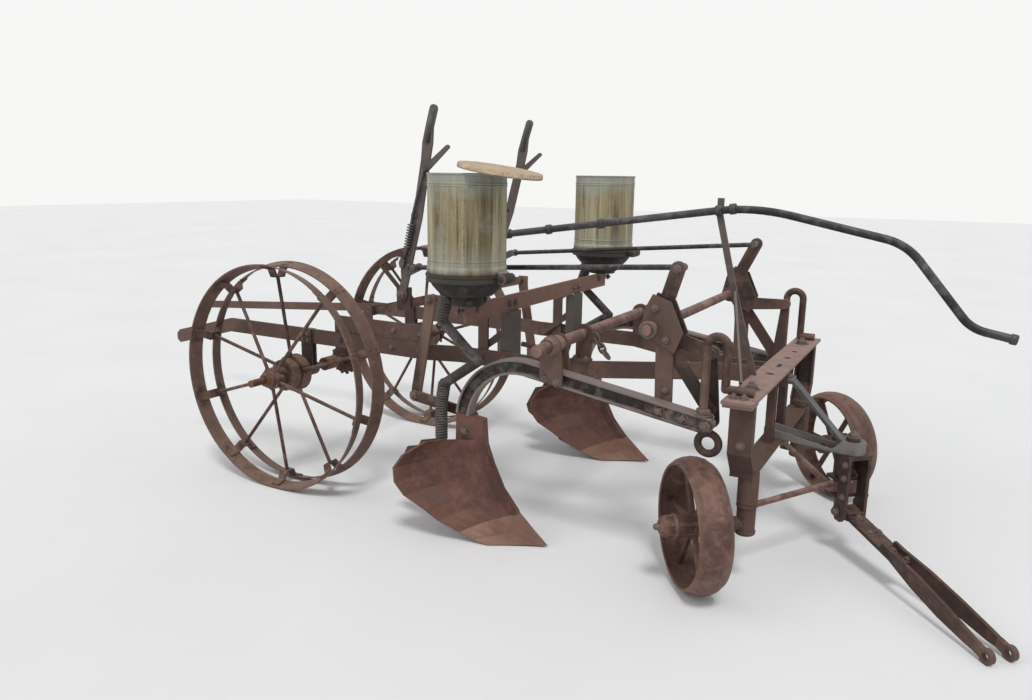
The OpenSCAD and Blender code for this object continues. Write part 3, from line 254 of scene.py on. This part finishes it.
def board(name):
    """Weathered lid: pale and dry, with long grain across it, grey patches and painted shade on its
    underside.
    """
    t = Tree(name)
    grain = t.noise(1.0, 7, 0.66, t.vector((9, 130, 60), (0.3, 0.1, 0)), warp=0.8)
    cloud = t.noise(9, 5, 0.6)
    speck = t.noise(90, 4, 0.6)
    col = t.ramp(grain, [(0.32, lin("8d7558")), (0.5, lin("bda588")), (0.7, lin("d9c8ae"))])
    col = t.mix(t.mul(t.mask(cloud, 0.5, 0.68), 0.55), col, lin("a79c8b"))
    # Downward faces are darkened: painted shade under the lid.
    col = t.mix(t.mask(t.height(t.geo.outputs["Normal"]), -0.3, -0.8), col, lin("2a2420"))
    t.roughness(speck, 0.7, 0.9)
    return t.finish(col, None, (t.add(t.mul(grain, 0.7), t.mul(speck, 0.3)), 0.5, 0.002))


# In each look, top sets how much dust and painted highlight the upward faces get, and edge how much
# wear and painted highlight the sharp edges get.
MAT = {
    "frame": iron("rusted_frame", "241a17", "40302a", "73594e", "7d4a31", seed=1),
    "frame_dark": iron("rusted_dark", "1b1412", "33231f", "5f473e", seed=2, top=0.4),
    "wheel": iron("rusted_wheel", "2c1c18", "4d372f", "876c5f", "7d4931", seed=3, top=0.75,
                  edge=0.6, rust=0.3),
    "hub": iron("rusted_hub", "35221c", "61402e", "93704f", "9a5c38", seed=4, rust=0.6),
    "plank": iron("plank_iron", "3c2722", "5f4238", "8d6c5c", seed=5, paint=("4c5a33", "75804a"),
                  paint_amount=-0.25, streaks=0.5),
    "painted": iron("green_paint", "231c1b", "3b2f2b", "6d5a50", seed=6,
                    paint=("16302d", "2f4b45"), paint_amount=0.75, rust=0.45),
    "beam": iron("beam_iron", "1e1b1b", "3a302e", "857770", seed=7, paint=("2c3b38", "5a6c66"),
                 paint_amount=0.2, top=0.95, edge=0.9, rust=0.35),
    "worn": iron("worn_plate", "33221e", "563c34", "a1857a", "80503c", seed=8, top=1.0, rust=0.25,
                 streaks=0.1),
    "brace": iron("brace_iron", "29292b", "434344", "7d7975", "6b4a38", seed=9, top=0.35,
                  edge=0.8, rust=0.3),
    "rod": iron("dark_rod", "191718", "2e2b2d", "6a6667", "5a3d30", seed=10, top=0.6, metal=0.35,
                rough=(0.4, 0.65), rust=0.15, pits=0.25),
    "lever": iron("lever_iron", "1c1717", "352c2c", "70645f", "6e4230", seed=11, top=0.5,
                  edge=0.6, metal=0.25, rough=(0.45, 0.7), rust=0.2),
    "cast": iron("black_casting", "0c0b0a", "1b1916", "45403a", "5f3a24", seed=12,
                 paint=("15170f", "262a1c"), paint_amount=0.1, top=0.35, edge=0.7, rust=0.35),
    "tube": iron("seed_tube_iron", "1d1919", "393331", "756c68", "6a4633", seed=13, top=0.6,
                 metal=0.25),
    "board": iron("mouldboard_iron", "472e28", "593a32", "755246", "7d4e36", seed=14, top=0.4,
                  metal=0.3, rough=(0.5, 0.75), rust=0.35, pits=0.3),
    "share": iron("share_iron", "54392f", "6a4a3d", "8d6c5c", "86583b", seed=15, top=0.6,
                  metal=0.35, rough=(0.45, 0.7), pits=0.3),
    "front": iron("front_wheel_iron", "432d26", "5b4038", "87695d", "7c4932", seed=16, top=0.6,
                  metal=0.3, rough=(0.45, 0.75), rust=0.4, pits=0.35),
    "link": iron("link_iron", "48322b", "6d5046", "a08478", "85543c", seed=17, top=0.7,
                 rust=0.35),
    "knuckle": iron("knuckle_iron", "211613", "3b2a24", "6b5045", "70442b", seed=18, rust=0.3,
                    top=0.4),
    "fork": iron("fork_iron", "66442a", "936a44", "c29d76", "b0713f", seed=21, rust=0.5, top=0.6),
    "bolt": iron("bolt_iron", "201817", "3f3230", "7a6963", "7c4a33", seed=19, top=0.6, edge=0.8,
                 scale=2.0),
    # Flat dark colour for the holes: painted shade.
    "hole": iron("hole_painted_shade", "060505", "0b0908", "15110f", "120d0a", seed=20, top=0.0, edge=0.0,
                 rust=0.1),
    "sheet": sheet_metal("galvanised_sheet"),
    "lid": board("lid_board"),
}

# Look of each node, by the longest beginning of its name
NODE_LOOK = {
    "rear_wheel": "wheel", "rear_axle": "hub", "drive_sprocket": "frame_dark",
    "cross_plank": "plank", "plank_posts": "painted", "plank_braces": "frame",
    "seed_base": "cast", "seed_tube": "tube", "lever_bars": "frame", "lever_right": "lever",
    "lever_left": "lever", "quadrants": "frame_dark", "hanger_straps": "wheel",
    "depth_rod": "rod", "trip_pipe": "rod", "trip_guide": "lever", "cross_pipe": "link",
    "pipe_brackets": "frame", "beam_ears": "frame", "beam_right": "beam", "beam_left": "beam",
    "frog": "board", "share": "share", "coverers": "frame_dark", "rockshaft": "link",
    "shaft_posts": "frame", "post_braces": "frame_dark", "bell_crank": "frame",
    "depth_links": "frame_dark", "hairpins": "wheel", "truss_top": "worn",
    "truss_posts": "frame_dark", "truss_bottom": "knuckle", "hitch_braces": "brace",
    "knuckle": "knuckle", "front_wheel": "front", "drag_link": "link",
    "hitch_head": "frame_dark", "tongue": "frame", "hopper_lid": "lid",
    "hopper_right": "sheet", "hopper_left": "sheet", "main_rail": "frame",
    "side_plates": "frame", "axle_hangers": "frame",
}
for name, obj in NODES.items():
    keys = [k for k in NODE_LOOK if name.startswith(k)]
    look = MAT[NODE_LOOK[max(keys, key=len)]]
    if not obj.material_slots:
        obj.data.materials.append(look)
    for s in obj.material_slots:
        s.material = look

# Detail pieces, collected in one mesh for each body, material and name
groups = {}


def mesh_of(body, look, name):
    key = (body, look, name)
    if key not in groups:
        groups[key] = bmesh.new()
    return groups[key]


def frame_from(axis):
    """Two directions across an axis, and the axis."""
    a = Vector(axis).normalized()
    side = Vector((0, 0, 1)) if abs(a.z) < 0.9 else Vector((1, 0, 0))
    u = a.cross(side).normalized()
    return u, a.cross(u), a


def lathe(bm, place, axis, profile, n=20, smooth=True, spin=0.0):
    """Turns a profile of (radius, height) in millimetres about an axis from a place."""
    u, v, a = frame_from(axis)
    rings = []
    for r, h in profile:
        mid = place + a * h / 1000
        if r < 1e-6:
            rings.append([bm.verts.new(mid)])
            continue
        rings.append([bm.verts.new(mid + (u * math.cos(t) + v * math.sin(t)) * r / 1000)
                      for t in [spin + 2 * math.pi * k / n for k in range(n)]])
    for p, q in zip(rings, rings[1:]):
        for k in range(n):
            face = [p[k % len(p)], p[(k + 1) % len(p)], q[(k + 1) % len(q)], q[k % len(q)]]
            face = [x for i, x in enumerate(face) if x not in face[:i]]
            if len(face) > 2:
                bm.faces.new(face).smooth = smooth


def tube(bm, points, r, n=12, closed=False):
    """Sweeps a round section of radius r along points; r may list one radius a point."""
    pts = [Vector(p) for p in points]
    count = len(pts)
    radii = r if isinstance(r, list) else [r] * count
    rings = []
    u = None
    for i, p in enumerate(pts):
        if closed:
            d = (pts[(i + 1) % count] - pts[i - 1]).normalized()
        else:
            d = (pts[min(i + 1, count - 1)] - pts[max(i - 1, 0)]).normalized()
        if u is None:
            u = frame_from(d)[0]
        u = (u - d * u.dot(d)).normalized()
        v = d.cross(u)
        rings.append([bm.verts.new(p + (u * math.cos(t) + v * math.sin(t)) * radii[i] / 1000)
                      for t in [2 * math.pi * k / n for k in range(n)]])
    pairs = list(zip(rings, rings[1:]))
    if closed:
        first, last = rings[0], rings[-1]
        shift = min(range(n), key=lambda s: (first[s].co - last[0].co).length)
        pairs.append((last, first[shift:] + first[:shift]))
    for p, q in pairs:
        for k in range(n):
            bm.faces.new((p[k], p[(k + 1) % n], q[(k + 1) % n], q[k])).smooth = True
    if not closed:
        bm.faces.new(rings[0][::-1])
        bm.faces.new(rings[-1])


def slab(bm, place, u, v, outline, thick, edge=1.2):
    """Plate with an outline in millimetres along u and v, thick along u x v, edges broken."""
    w = u.cross(v).normalized()
    levels = [(0, edge), (edge, 0), (thick - edge, 0), (thick, edge)]
    mid = Vector((sum(p[0] for p in outline), sum(p[1] for p in outline))) / len(outline)
    rings = []
    for h, inset in levels:
        ring = []
        for p in outline:
            d = Vector(p) - mid
            q = mid + d * (1 - inset / max(d.length, 1))
            ring.append(bm.verts.new(place + (u * q[0] + v * q[1] + w * h) / 1000))
        rings.append(ring)
    n = len(outline)
    for p, q in zip(rings, rings[1:]):
        for k in range(n):
            bm.faces.new((p[k], p[(k + 1) % n], q[(k + 1) % n], q[k]))
    bm.faces.new(rings[0][::-1])
    bm.faces.new(rings[-1])


def block(bm, place, u, v, size, edge=1.2):
    """A slab with a rectangle for its outline: along u, along v, thick."""
    a, b, thick = size
    slab(bm, place, u, v, [(0, 0), (a, 0), (a, b), (0, b)], thick, edge)


def loop(mid, u, v, n):
    """Points of an ellipse, with its half axes u and v in metres."""
    turns = [2 * math.pi * i / n for i in range(n)]
    return [mid + u * math.cos(t) + v * math.sin(t) for t in turns]


def coil(bm, a, b, radius, wire, turns, per=10):
    """A wire wound from a to b."""
    u, v, _ = frame_from(b - a)
    n = int(turns * per)
    points = []
    for k in range(n + 1):
        t = 2 * math.pi * k / per
        points.append(a + (b - a) * k / n + (u * math.cos(t) + v * math.sin(t)) * radius / 1000)
    tube(bm, points, wire, 6)


rng = random.Random(7)


def bolt(bm, place, axis, r, stud=0, square=False):
    """Washer and a chamfered head, with the stud's end through it where it is a nut."""
    washer = [(0, 0), (r * 1.5, 0), (r * 1.5, 2), (r * 1.42, 2.6), (r, 2.6)]
    head = [(r * 1.12, 2.4), (r * 1.12, 2.4 + r * 0.62), (r * 0.96, 2.4 + r * 0.78),
            (0, 2.4 + r * 0.8)]
    lathe(bm, place, axis, washer, 20)
    lathe(bm, place, axis, head, 4 if square else 6, False, rng.random() * 6.28)
    if stud:
        end = [(r * 0.55, r * 0.5), (r * 0.55, stud - 1.5), (r * 0.45, stud), (0, stud)]
        lathe(bm, place, axis, end, 12)


def rivet(bm, place, axis, r, h):
    lathe(bm, place, axis, [(r, 0), (r * 0.92, h * 0.45), (r * 0.6, h * 0.86), (0, h)], 12)


# Bolts on the frame's faces that look outward: forward place, height, distance from the
# middle, size
OUTWARD = [
    (-15, 645, 396, 10), (15, 645, 396, 10), (-15, 617, 396, 10), (15, 617, 396, 10),
    (190, 635, 386, 10), (333, 635, 386, 10), (470, 635, 386, 10), (610, 635, 386, 10),
    (190, 705, 374, 9), (470, 705, 374, 9), (605, 705, 374, 9), (333, 770, 356, 13),
    (652, 851, 356, 12), (665, 851, 391, 11), (664, 482, 497, 15), (983, 640, 346, 10),
    (881, 640, 346, 10), (1278, 650, 566.5, 12), (1325, 641, 566.5, 12),
    (1692, 592, 550.5, 13), (1772, 580, 550.5, 13), (1851, 567, 552.5, 16),
    (1690, 812, 510.5, 12), (1697, 655, 510.5, 11), (938, 398, FROG_FACE, 13),
    (930, 322, FROG_FACE, 13), (968, 238, FROG_FACE, 12), (985, 120, FROG_FACE, 11),
    (925, 185, 583.5, 12), (1705, 1053, 476, 14), (1652, 926, 520.5, 12),
    (1692, 824, 520.5, 12), (1838, 792, 486, 14), (1962, 520, 551, 11),
    (LEVER_X, LEVER_Z, LEVER_FACE, 17), (604, 978, 410, 11),
]
# Bolts that the left side has in another place
LEFT_OWN = {(1705, 1053): (1735, 1074), (1838, 792): (1870, 829)}
for side, word in SIDES:
    bm = mesh_of("frame", "bolt", "frame_bolts_" + word)
    for x, z, y, r in OUTWARD:
        if side > 0:
            x, z = LEFT_OWN.get((x, z), (x, z))
        bolt(bm, at(x, side * y, z), Y * side, r, stud=r * 1.5 if r > 9.5 else 0,
             square=r in (10, 13))
    bolt(bm, at(940, side * FROG_FACE, 150), Y * side, 10, square=True)
    # Through the cross plank, on its two faces
    for y, z, r in ((268, 857, 10), (312, 857, 10), (545, 866, 10), (650, 866, 10)):
        bolt(bm, at(989, side * y, z), X, r, stud=14, square=True)
        bolt(bm, at(977, side * y, z), -X, r)
    # On the brackets of the cross pipe, and on the truss's top plate
    for x in (1278, 1322):
        bolt(bm, at(x, side * 320, RAIL_TOP + 8), Z, 9, stud=14)
    for x, y, r in ((1958, 430, 19), (1936, 573, 10), (1968, 571, 10)):
        bolt(bm, at(x, side * y, TRUSS_TOP), Z, r, stud=r + 6, square=r > 15)
    # At the beam's front end, and the washers of the cross pipe and the rockshaft
    front = 1834 if side < 0 else 1865
    bolt(bm, at(front, side * BEAM_Y, beam_z(front) + 28.3), Z, 22, square=True)
    lathe(bm, at(1300, side * 566.5, 768), Y * side, [(23, 0), (36, 0), (36, 4), (23, 4)], 28)
    lathe(bm, at(1638, side * 545, 856), Y * side, [(17, 0), (30, 0), (30, 3), (17, 3)], 24)

# Holes and a slot in the top plate of the truss, drawn as thin dark discs and a thin dark block:
# painted shade in them.
bm = mesh_of("frame", "hole", "plate_holes")
for x, y, r in ((1962, -182, 13), (1963, 117, 13), (1963, 250, 11)):
    lathe(bm, at(x, y, TRUSS_TOP), Z, [(r, 0), (r, 0.3), (0, 0.3)], 24)
block(bm, at(1956, -61, TRUSS_TOP), X, Y, (14, 52, 0.4), 0.1)

# Rivets of the rear wheels' cross straps, and bolts of the ratchet cases
for side, word in SIDES:
    body = "rear_wheel_" + word
    bm = mesh_of(body, "wheel", body + "_rivets")
    hub = at(0, side * WHEEL_Y, AXLE_Z)
    for k in range(10):
        for across, r in ((-74, 482.3), (-46, 474.4), (46, 474.4), (74, 482.3)):
            for along in (-10, 10):
                t = math.radians(36 * k) + along / 480
                d = Vector((math.sin(t), 0, math.cos(t)))
                rivet(bm, hub + Y * across / 1000 + d * r / 1000, d, 8, 3)
    for k in range(6):
        t = math.radians(60 * k + 15)
        d = Vector((math.sin(t), 0, math.cos(t)))
        bolt(bm, hub - Y * side * 0.093 + d * 0.062, -Y * side, 7)
        bolt(bm, hub + Y * side * 0.05 + d * 0.052, Y * side, 6)

# Hoppers: wired top edge, pressed beads, foot band, seam with rivets, hinge sleeve and pin heads
AROUND = 96
for side, word in SIDES:
    body = "hopper_" + word
    bm = mesh_of(body, "sheet", body + "_trim")
    mid = at(HOPPER_X, side * HOPPER_Y, 0)
    top = HOPPER_TOP
    bands = [
        [(135.2, top - 6), (138.2, top - 7), (140.6, top - 4), (140.9, top - 1.5),
         (138.5, top + 0.1), (135.4, top - 0.4)],
        [(137.6, 1034), (140.2, 1032), (140.6, 1005), (139, 1004.5)],
        [(137.6, 1056), (139.4, 1054), (139.4, 1050), (137.6, 1048)],
    ]
    for z in (top - 34, top - 42):
        bands.append([(137.6, z - 4), (139.6, z - 2), (140, z), (139.6, z + 2), (137.6, z + 4)])
    for profile in bands:
        lathe(bm, mid, Z, profile, AROUND)
    d = level(-62 if side < 0 else -118)
    e = Z.cross(d)
    block(bm, mid + d * 0.1372 + Z * 1.035 - e * 0.011, e, Z, (22, 268, 2.2), 0.6)
    for k in range(9):
        rivet(bm, mid + d * 0.1392 + Z * (1.05 + 0.03 * k), d, 4, 2.2)
    for k in range(12):
        d = level(30 * k + 8)
        rivet(bm, mid + d * 0.1403 + Z * 1.019, d, 4.5, 2.4)
    bm = mesh_of(body, "cast", body + "_hinge_pin")
    sleeve = [(18, 0), (18.7, 0.7), (18.7, 38.9), (18, 39.6)]
    lathe(bm, at(HINGE_X, side * HOPPER_Y - 19.8, HINGE_Z), Y, sleeve, 32)
    for e in (-1, 1):
        rivet(bm, at(HINGE_X, side * HOPPER_Y + e * 43.5, HINGE_Z), Y * e, 12, 5)

# Rolled rim of the lid, which lies tilted on the right hopper's front edge
bm = mesh_of("hopper_lid", "lid", "lid_bead")
tilt = math.radians(LID_TILT)
lid_up = Vector((math.sin(tilt), 0, math.cos(tilt)))
lid_along = Vector((math.cos(tilt), 0, -math.sin(tilt)))
lid_mid = at(HOPPER_X + 138, -HOPPER_Y, HOPPER_TOP + 0.3) - lid_along * 0.008
lathe(bm, lid_mid, lid_up, [(140, -0.2), (145.5, 1), (147, 4), (146.4, 8), (145.4, 14),
                            (143.6, 16.6), (140, 17.2), (136, 16.4), (134, 15.8)], AROUND)

# Seed bases: rims, ribs, bolts under them, and the faces of the hinge's ears
for side, word in SIDES:
    bm = mesh_of("frame", "cast", "seed_base_ribs_" + word)
    mid = at(HOPPER_X, side * HOPPER_Y, 0)
    lathe(bm, mid, Z, [(144.6, 1003), (147, 1001), (147.3, 996), (145, 993)], AROUND)
    lathe(bm, mid, Z, [(144.6, 982), (146.4, 980), (146.4, 977), (144.6, 976)], AROUND)
    rib = [(60, 928), (93, 928), (108, 944), (124, 962), (131, 975), (60, 975)]
    for k in range(8):
        d = level(45 * k + 20)
        slab(bm, mid + Z.cross(d) * 0.004, d, Z, rib, 8, 1)
    for k in range(4):
        d = level(90 * k + 40)
        bolt(bm, mid + d * 0.0605 + Z * 0.905, d, 9)
    bm = mesh_of("frame", "link", "base_hinge_faces_" + word)
    face = [(10.5, 0), (17, 0), (17, 1.5), (15.5, 2.6), (10.5, 2.6)]
    for e in (-1, 1):
        lathe(bm, at(HINGE_X, side * HOPPER_Y + e * 34, HINGE_Z), Y * e, face, 24)

# Seed tubes: the wound strip stands out in ridges
TUBE_RUNS = (((890, 603, 924), (890, 603, 892)), ((890, 603, 892), (868, 603, 824)),
             ((840, 543.5, 566), (818, 533.5, 480)), ((818, 533.5, 480), (818, 533.5, 345)))
RIDGE_PITCH = 0.0105
for side, word in SIDES:
    bm = mesh_of("frame", "tube", "seed_tube_ridges_" + word)
    for ends in TUBE_RUNS:
        a, b = [at(x, side * y, z) for x, y, z in ends]
        coil(bm, a, b, 22, 3.2, (b - a).length / RIDGE_PITCH, 20)

# Levers: latch rods, springs, guides, pawls and handles; paths go up from the pivot
LEVER_PATH = {
    "right": [(0, 0), (45, 181), (82, 318), (123, 536), (133, 600), (143, 660), (162, 725)],
    "left": [(0, 0), (24, 179), (72, 314), (128, 529), (140, 592), (152, 651), (173, 715)],
}


def by_lever(point, y, dx=0, dz=0):
    """Place at or near a point of a lever's path."""
    return at(LEVER_X + point[0] + dx, y, LEVER_Z + point[1] + dz)


for side, word in SIDES:
    path = LEVER_PATH[word]
    latch, face = side * LATCH_Y, side * LEVER_FACE
    bm = mesh_of("frame", "rod", "latch_gear_" + word)
    foot = by_lever(path[1], latch, -30, -40)
    low = by_lever(path[1], latch, -12, -6)
    high = by_lever(path[2], latch, -14, 4)
    tube(bm, [foot, low, high, by_lever(path[3], latch, -2, -34)], 5.5)
    coil(bm, low.lerp(high, 0.12), low.lerp(high, 0.78), 12, 3.6, 9)
    for p in (low, high):
        block(bm, p - Y * side * 0.012 - X * 0.012 - Z * 0.007, X, Z, (28, 14, 8))
    pawl = [(0, 0), (20, 4), (26, 34), (6, 40), (-4, 22)]
    slab(bm, foot - X * 0.014 - Z * 0.03 + Y * 0.004, X, Z, pawl, 9)
    bolt(bm, by_lever(path[3], face, -2, -38), Y * side, 9, stud=12)
    bolt(bm, by_lever(path[1], face, -6, -60), Y * side, 9)
    grip = [by_lever(point, side * 373) for point in path[4:]]
    tube(bm, [*grip, grip[2] + (grip[2] - grip[1]) * 0.04], [13, 13, 12, 9], 14)

# Trip pipe: clamps, and the cap on its front end
bm = mesh_of("frame", "rod", "trip_pipe_clamps")
slope = Vector((946, 0, 133)).normalized()
clamp = [(13, 0), (17.5, 0.6), (18.3, 3), (18.3, 19), (17.5, 21.4), (13, 22)]
for x in (945, 1120, 1335, 1765, 1812):
    p = at(x, TRIP_Y, 1117 + (x - 935) * 0.14059)
    lathe(bm, p - slope * 0.011, slope, clamp, 24)
bolt(bm, at(1765, TRIP_Y - 18.5, 1234), -Y, 8, stud=14)
end = at(2674, TRIP_Y, 885)
cap = [(13, 0), (16, 1), (16.6, 6), (16, 18), (12, 20.3), (0, 20.3)]
lathe(bm, end - Vector((0.02, 0, -0.0037)), Vector((1, 0, -0.185)), cap, 20)

# The few links of drive chain that show
bm = mesh_of("frame", "bolt", "drive_chain")
links = [at(1334, -272, 761), at(1345, -276, 742), at(1358, -270, 724), at(1372, -274, 704),
         at(1392, -272, 682)]
for k, (a, b) in enumerate(zip(links, links[1:])):
    d = (b - a).normalized()
    w = Y if k % 2 else d.cross(Y).normalized()
    tube(bm, loop(a.lerp(b, 0.5), d * 0.02, w * 0.012, 14), 5.2, 8, True)

# Two thin round braces beside the right rail, and the rings under the beams' ends
bm = mesh_of("frame", "frame_dark", "small_braces")
tube(bm, [at(560, -352, 741), at(460, -352, 640)], 8)
tube(bm, [at(1052, -322, 705), at(1236, -322, 688)], 10)
for side, _ in SIDES:
    mid = at(1856, side * BEAM_Y, beam_z(1851) - 28.3 - 34)
    tube(bm, loop(mid, X * 0.034, Z * 0.034, 48), 12.7, 14, True)

# The doubled plate under the near end of the truss's top, and the sloping brace's upper tab
bm = mesh_of("frame", "worn", "truss_end_plate")
block(bm, at(1913, -616, RAIL_TOP - 12), X, Y, (92, 84, 12), 1.5)
bm = mesh_of("frame", "brace", "brace_tab")
block(bm, at(1974, -39, 623.6), X, Y, (40, 78, 8))
bolt(bm, at(1994, 0, 631.6), Z, 12, stud=18)

# Clevis and nut at each knuckle, kingpin collars, caps, rim lugs and beads of the front wheels
KNUCKLE_TURN = {"right": -53.1, "left": -43.5}
ARM_ANGLE = 148
collar = [(31, 2), (34, 4), (34.4, 12), (31, 15)]
band = [(37, 0), (41, 3), (41, 12), (37, 15)]
for side, word in SIDES:
    turn = KNUCKLE_TURN[word]
    body = "knuckle_" + word
    king = at(KINGPIN_X, side * KINGPIN_Y, 0)
    bm = mesh_of(body, "fork", body + "_fork")
    out = turned(level(-side * ARM_ANGLE), turn)
    across = out.cross(Z)
    jaws = [(-21, 0), (21, 0), (21, 96), (16, 103), (9, 103), (7, 34), (-7, 34), (-9, 103),
            (-16, 103), (-21, 96)]
    slab(bm, king + out * 0.052 + Z * 0.2865, across, Z, jaws, 9, 1)
    slab(bm, king + out * 0.083 + Z * 0.2865, across, Z,
         [(-18, 0), (18, 0), (15, 50), (-15, 50)], 8, 1)
    bolt(bm, king + out * 0.06 + Z * 0.2862, Z, 11, stud=17)
    bm = mesh_of(body, "knuckle", body + "_nut")
    lathe(bm, king + Z * 0.417, Z, [(0, 0), (21, 0), (21, 3), (17, 3)], 20)
    bolt(bm, king + Z * 0.417, Z, 15, stud=18)
    for z in (0.19, 0.281):
        lathe(bm, king + Z * z, Z, collar, 28)
    wheel = "front_wheel_" + word
    out = turned(Y * side, turn)
    roll = turned(X, turn)
    hub = king + out * 0.178 + Z * 0.226
    bm = mesh_of(wheel, "front", wheel + "_cap")
    cap = [(13, 0), (13, 3), (11, 8), (9, 15), (5, 17.5), (0, 18)]
    lathe(bm, hub + out * 0.119, out, cap, 16)
    for along in (0.058, -0.04):
        lathe(bm, hub + out * along, out, band, 32)
    t = math.radians(27 if side < 0 else 160)
    d = roll * math.cos(t) + Z * math.sin(t)
    lathe(bm, hub + d * 0.2215 - out * 0.012, d, [(17, 0), (15, 4), (10, 8), (0, 9.4)], 18)
    for e in (-1, 1):
        ring = loop(hub + out * e * 0.0525, roll * 0.2035, Z * 0.2035, 72)
        tube(bm, ring, 3.6, 8, True)

# Hitch head and tongue, as they stand turned and sloping
HEAD = at(HEAD_X, 0, 0)
bm = mesh_of("hitch_head", "bolt", "hitch_head_bolts")
bolt(bm, HEAD + Z * 0.442, Z, 17, stud=22)
for e in (-1, 1):
    for z in (350, 300, 230):
        p = HEAD + turned((0.034, e * 0.046, z / 1000), HEAD_TURN)
        bolt(bm, p, turned(Y * e, HEAD_TURN), 9, stud=13)
bm = mesh_of("tongue", "bolt", "tongue_bolts")
for e in (-1, 1):
    p = HEAD + turned((0.009, e * 0.05, 0.167), HEAD_TURN)
    bolt(bm, p, turned(Y * e, HEAD_TURN), 13, stud=16)
fall = Matrix.Rotation(math.radians(TONGUE_FALL), 3, "Y")
sideways = turned(Y, HEAD_TURN)
upward = turned(fall @ Z, HEAD_TURN)


def on_tongue(x, y, z):
    """Place along, beside and above the tongue's middle line, in millimetres."""
    along = fall @ Vector((x / 1000, y / 1000, z / 1000))
    return HEAD + turned(Vector((0.009, 0, 0.167)) + along, HEAD_TURN)


for x, y in ((60, 0), (150, 18), (150, -18), (250, 0), (300, 18), (300, -18)):
    bolt(bm, on_tongue(x, y, 6), upward, 10, stud=14, square=True)

# The tongue's straps stand deeper in the middle than at their ends
bm = mesh_of("tongue", "frame_dark", "tongue_straps")
strap = [(0, -6), (0, 14), (60, 24), (170, 29), (300, 26), (420, 19), (475, 14), (475, -14),
         (420, -22), (300, -30), (170, -27), (60, -14)]
for e in (-1, 1):
    a = on_tongue(225, e * 22.5, 3)
    b = on_tongue(700, e * 40.5, 0)
    slab(bm, a + sideways * 0.0065, (b - a).normalized(), upward, strap, 13)

for (body, look, name), bm in groups.items():
    bmesh.ops.recalc_face_normals(bm, faces=bm.faces)
    mesh = bpy.data.meshes.new(name)
    bm.to_mesh(mesh)
    bm.free()
    mesh.materials.append(MAT[look])
    piece = bpy.data.objects.new(name, mesh)
    bpy.context.scene.collection.objects.link(piece)
    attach(piece, body)

# Floor, just under the wheels
REACH = 30
corners = [(-REACH, -REACH, 0), (REACH, -REACH, 0), (REACH, REACH, 0), (-REACH, REACH, 0)]
floor_mesh = bpy.data.meshes.new("floor")
floor_mesh.from_pydata(corners, [], [(0, 1, 2, 3)])
floor = bpy.data.objects.new("floor", floor_mesh)
bpy.context.scene.collection.objects.link(floor)
floor.location.z = -0.0005
t = Tree("floor")
tone = t.ramp(t.noise(0.8, 4), [(0.3, (0.83, 0.825, 0.81)), (0.7, (0.87, 0.865, 0.85))])
t.bsdf.inputs["Roughness"].default_value = 0.9
floor_mesh.materials.append(t.finish(tone))

# World: soft light, and a pale ground for the camera and for reflections
world = bpy.data.worlds.new("studio")
bpy.context.scene.world = world
world.use_nodes = True
wn = world.node_tree
back = wn.nodes["Background"]
back.inputs["Color"].default_value = (0.93, 0.95, 1.0, 1)
back.inputs["Strength"].default_value = 0.55
pale = wn.nodes.new("ShaderNodeBackground")
pale.inputs["Color"].default_value = (0.93, 0.93, 0.92, 1)
pale.inputs["Strength"].default_value = 1
path = wn.nodes.new("ShaderNodeLightPath")
seen = path.outputs["Is Camera Ray"]
for ray in ("Is Glossy Ray", "Is Transmission Ray"):
    either = wn.nodes.new("ShaderNodeMath")
    either.operation = "MAXIMUM"
    wn.links.new(seen, either.inputs[0])
    wn.links.new(path.outputs[ray], either.inputs[1])
    seen = either.outputs[0]
blend = wn.nodes.new("ShaderNodeMixShader")
wn.links.new(seen, blend.inputs[0])
wn.links.new(back.outputs[0], blend.inputs[1])
wn.links.new(pale.outputs[0], blend.inputs[2])
wn.links.new(blend.outputs[0], wn.nodes["World Output"].inputs["Surface"])


def lamp(name, place, angle, power):
    """A sun lamp that shines from a place to the middle of the floor."""
    data = bpy.data.lights.new(name, "SUN")
    data.angle = math.radians(angle)
    data.energy = power
    o = bpy.data.objects.new(name, data)
    bpy.context.scene.collection.objects.link(o)
    o.location = place
    o.rotation_euler = (-Vector(place)).to_track_quat("-Z", "Y").to_euler()


lamp("key", (1.5, -2.2, 4.2), 14, 1.35)
lamp("fill", (-3.0, -3.0, 2.5), 40, 0.5)
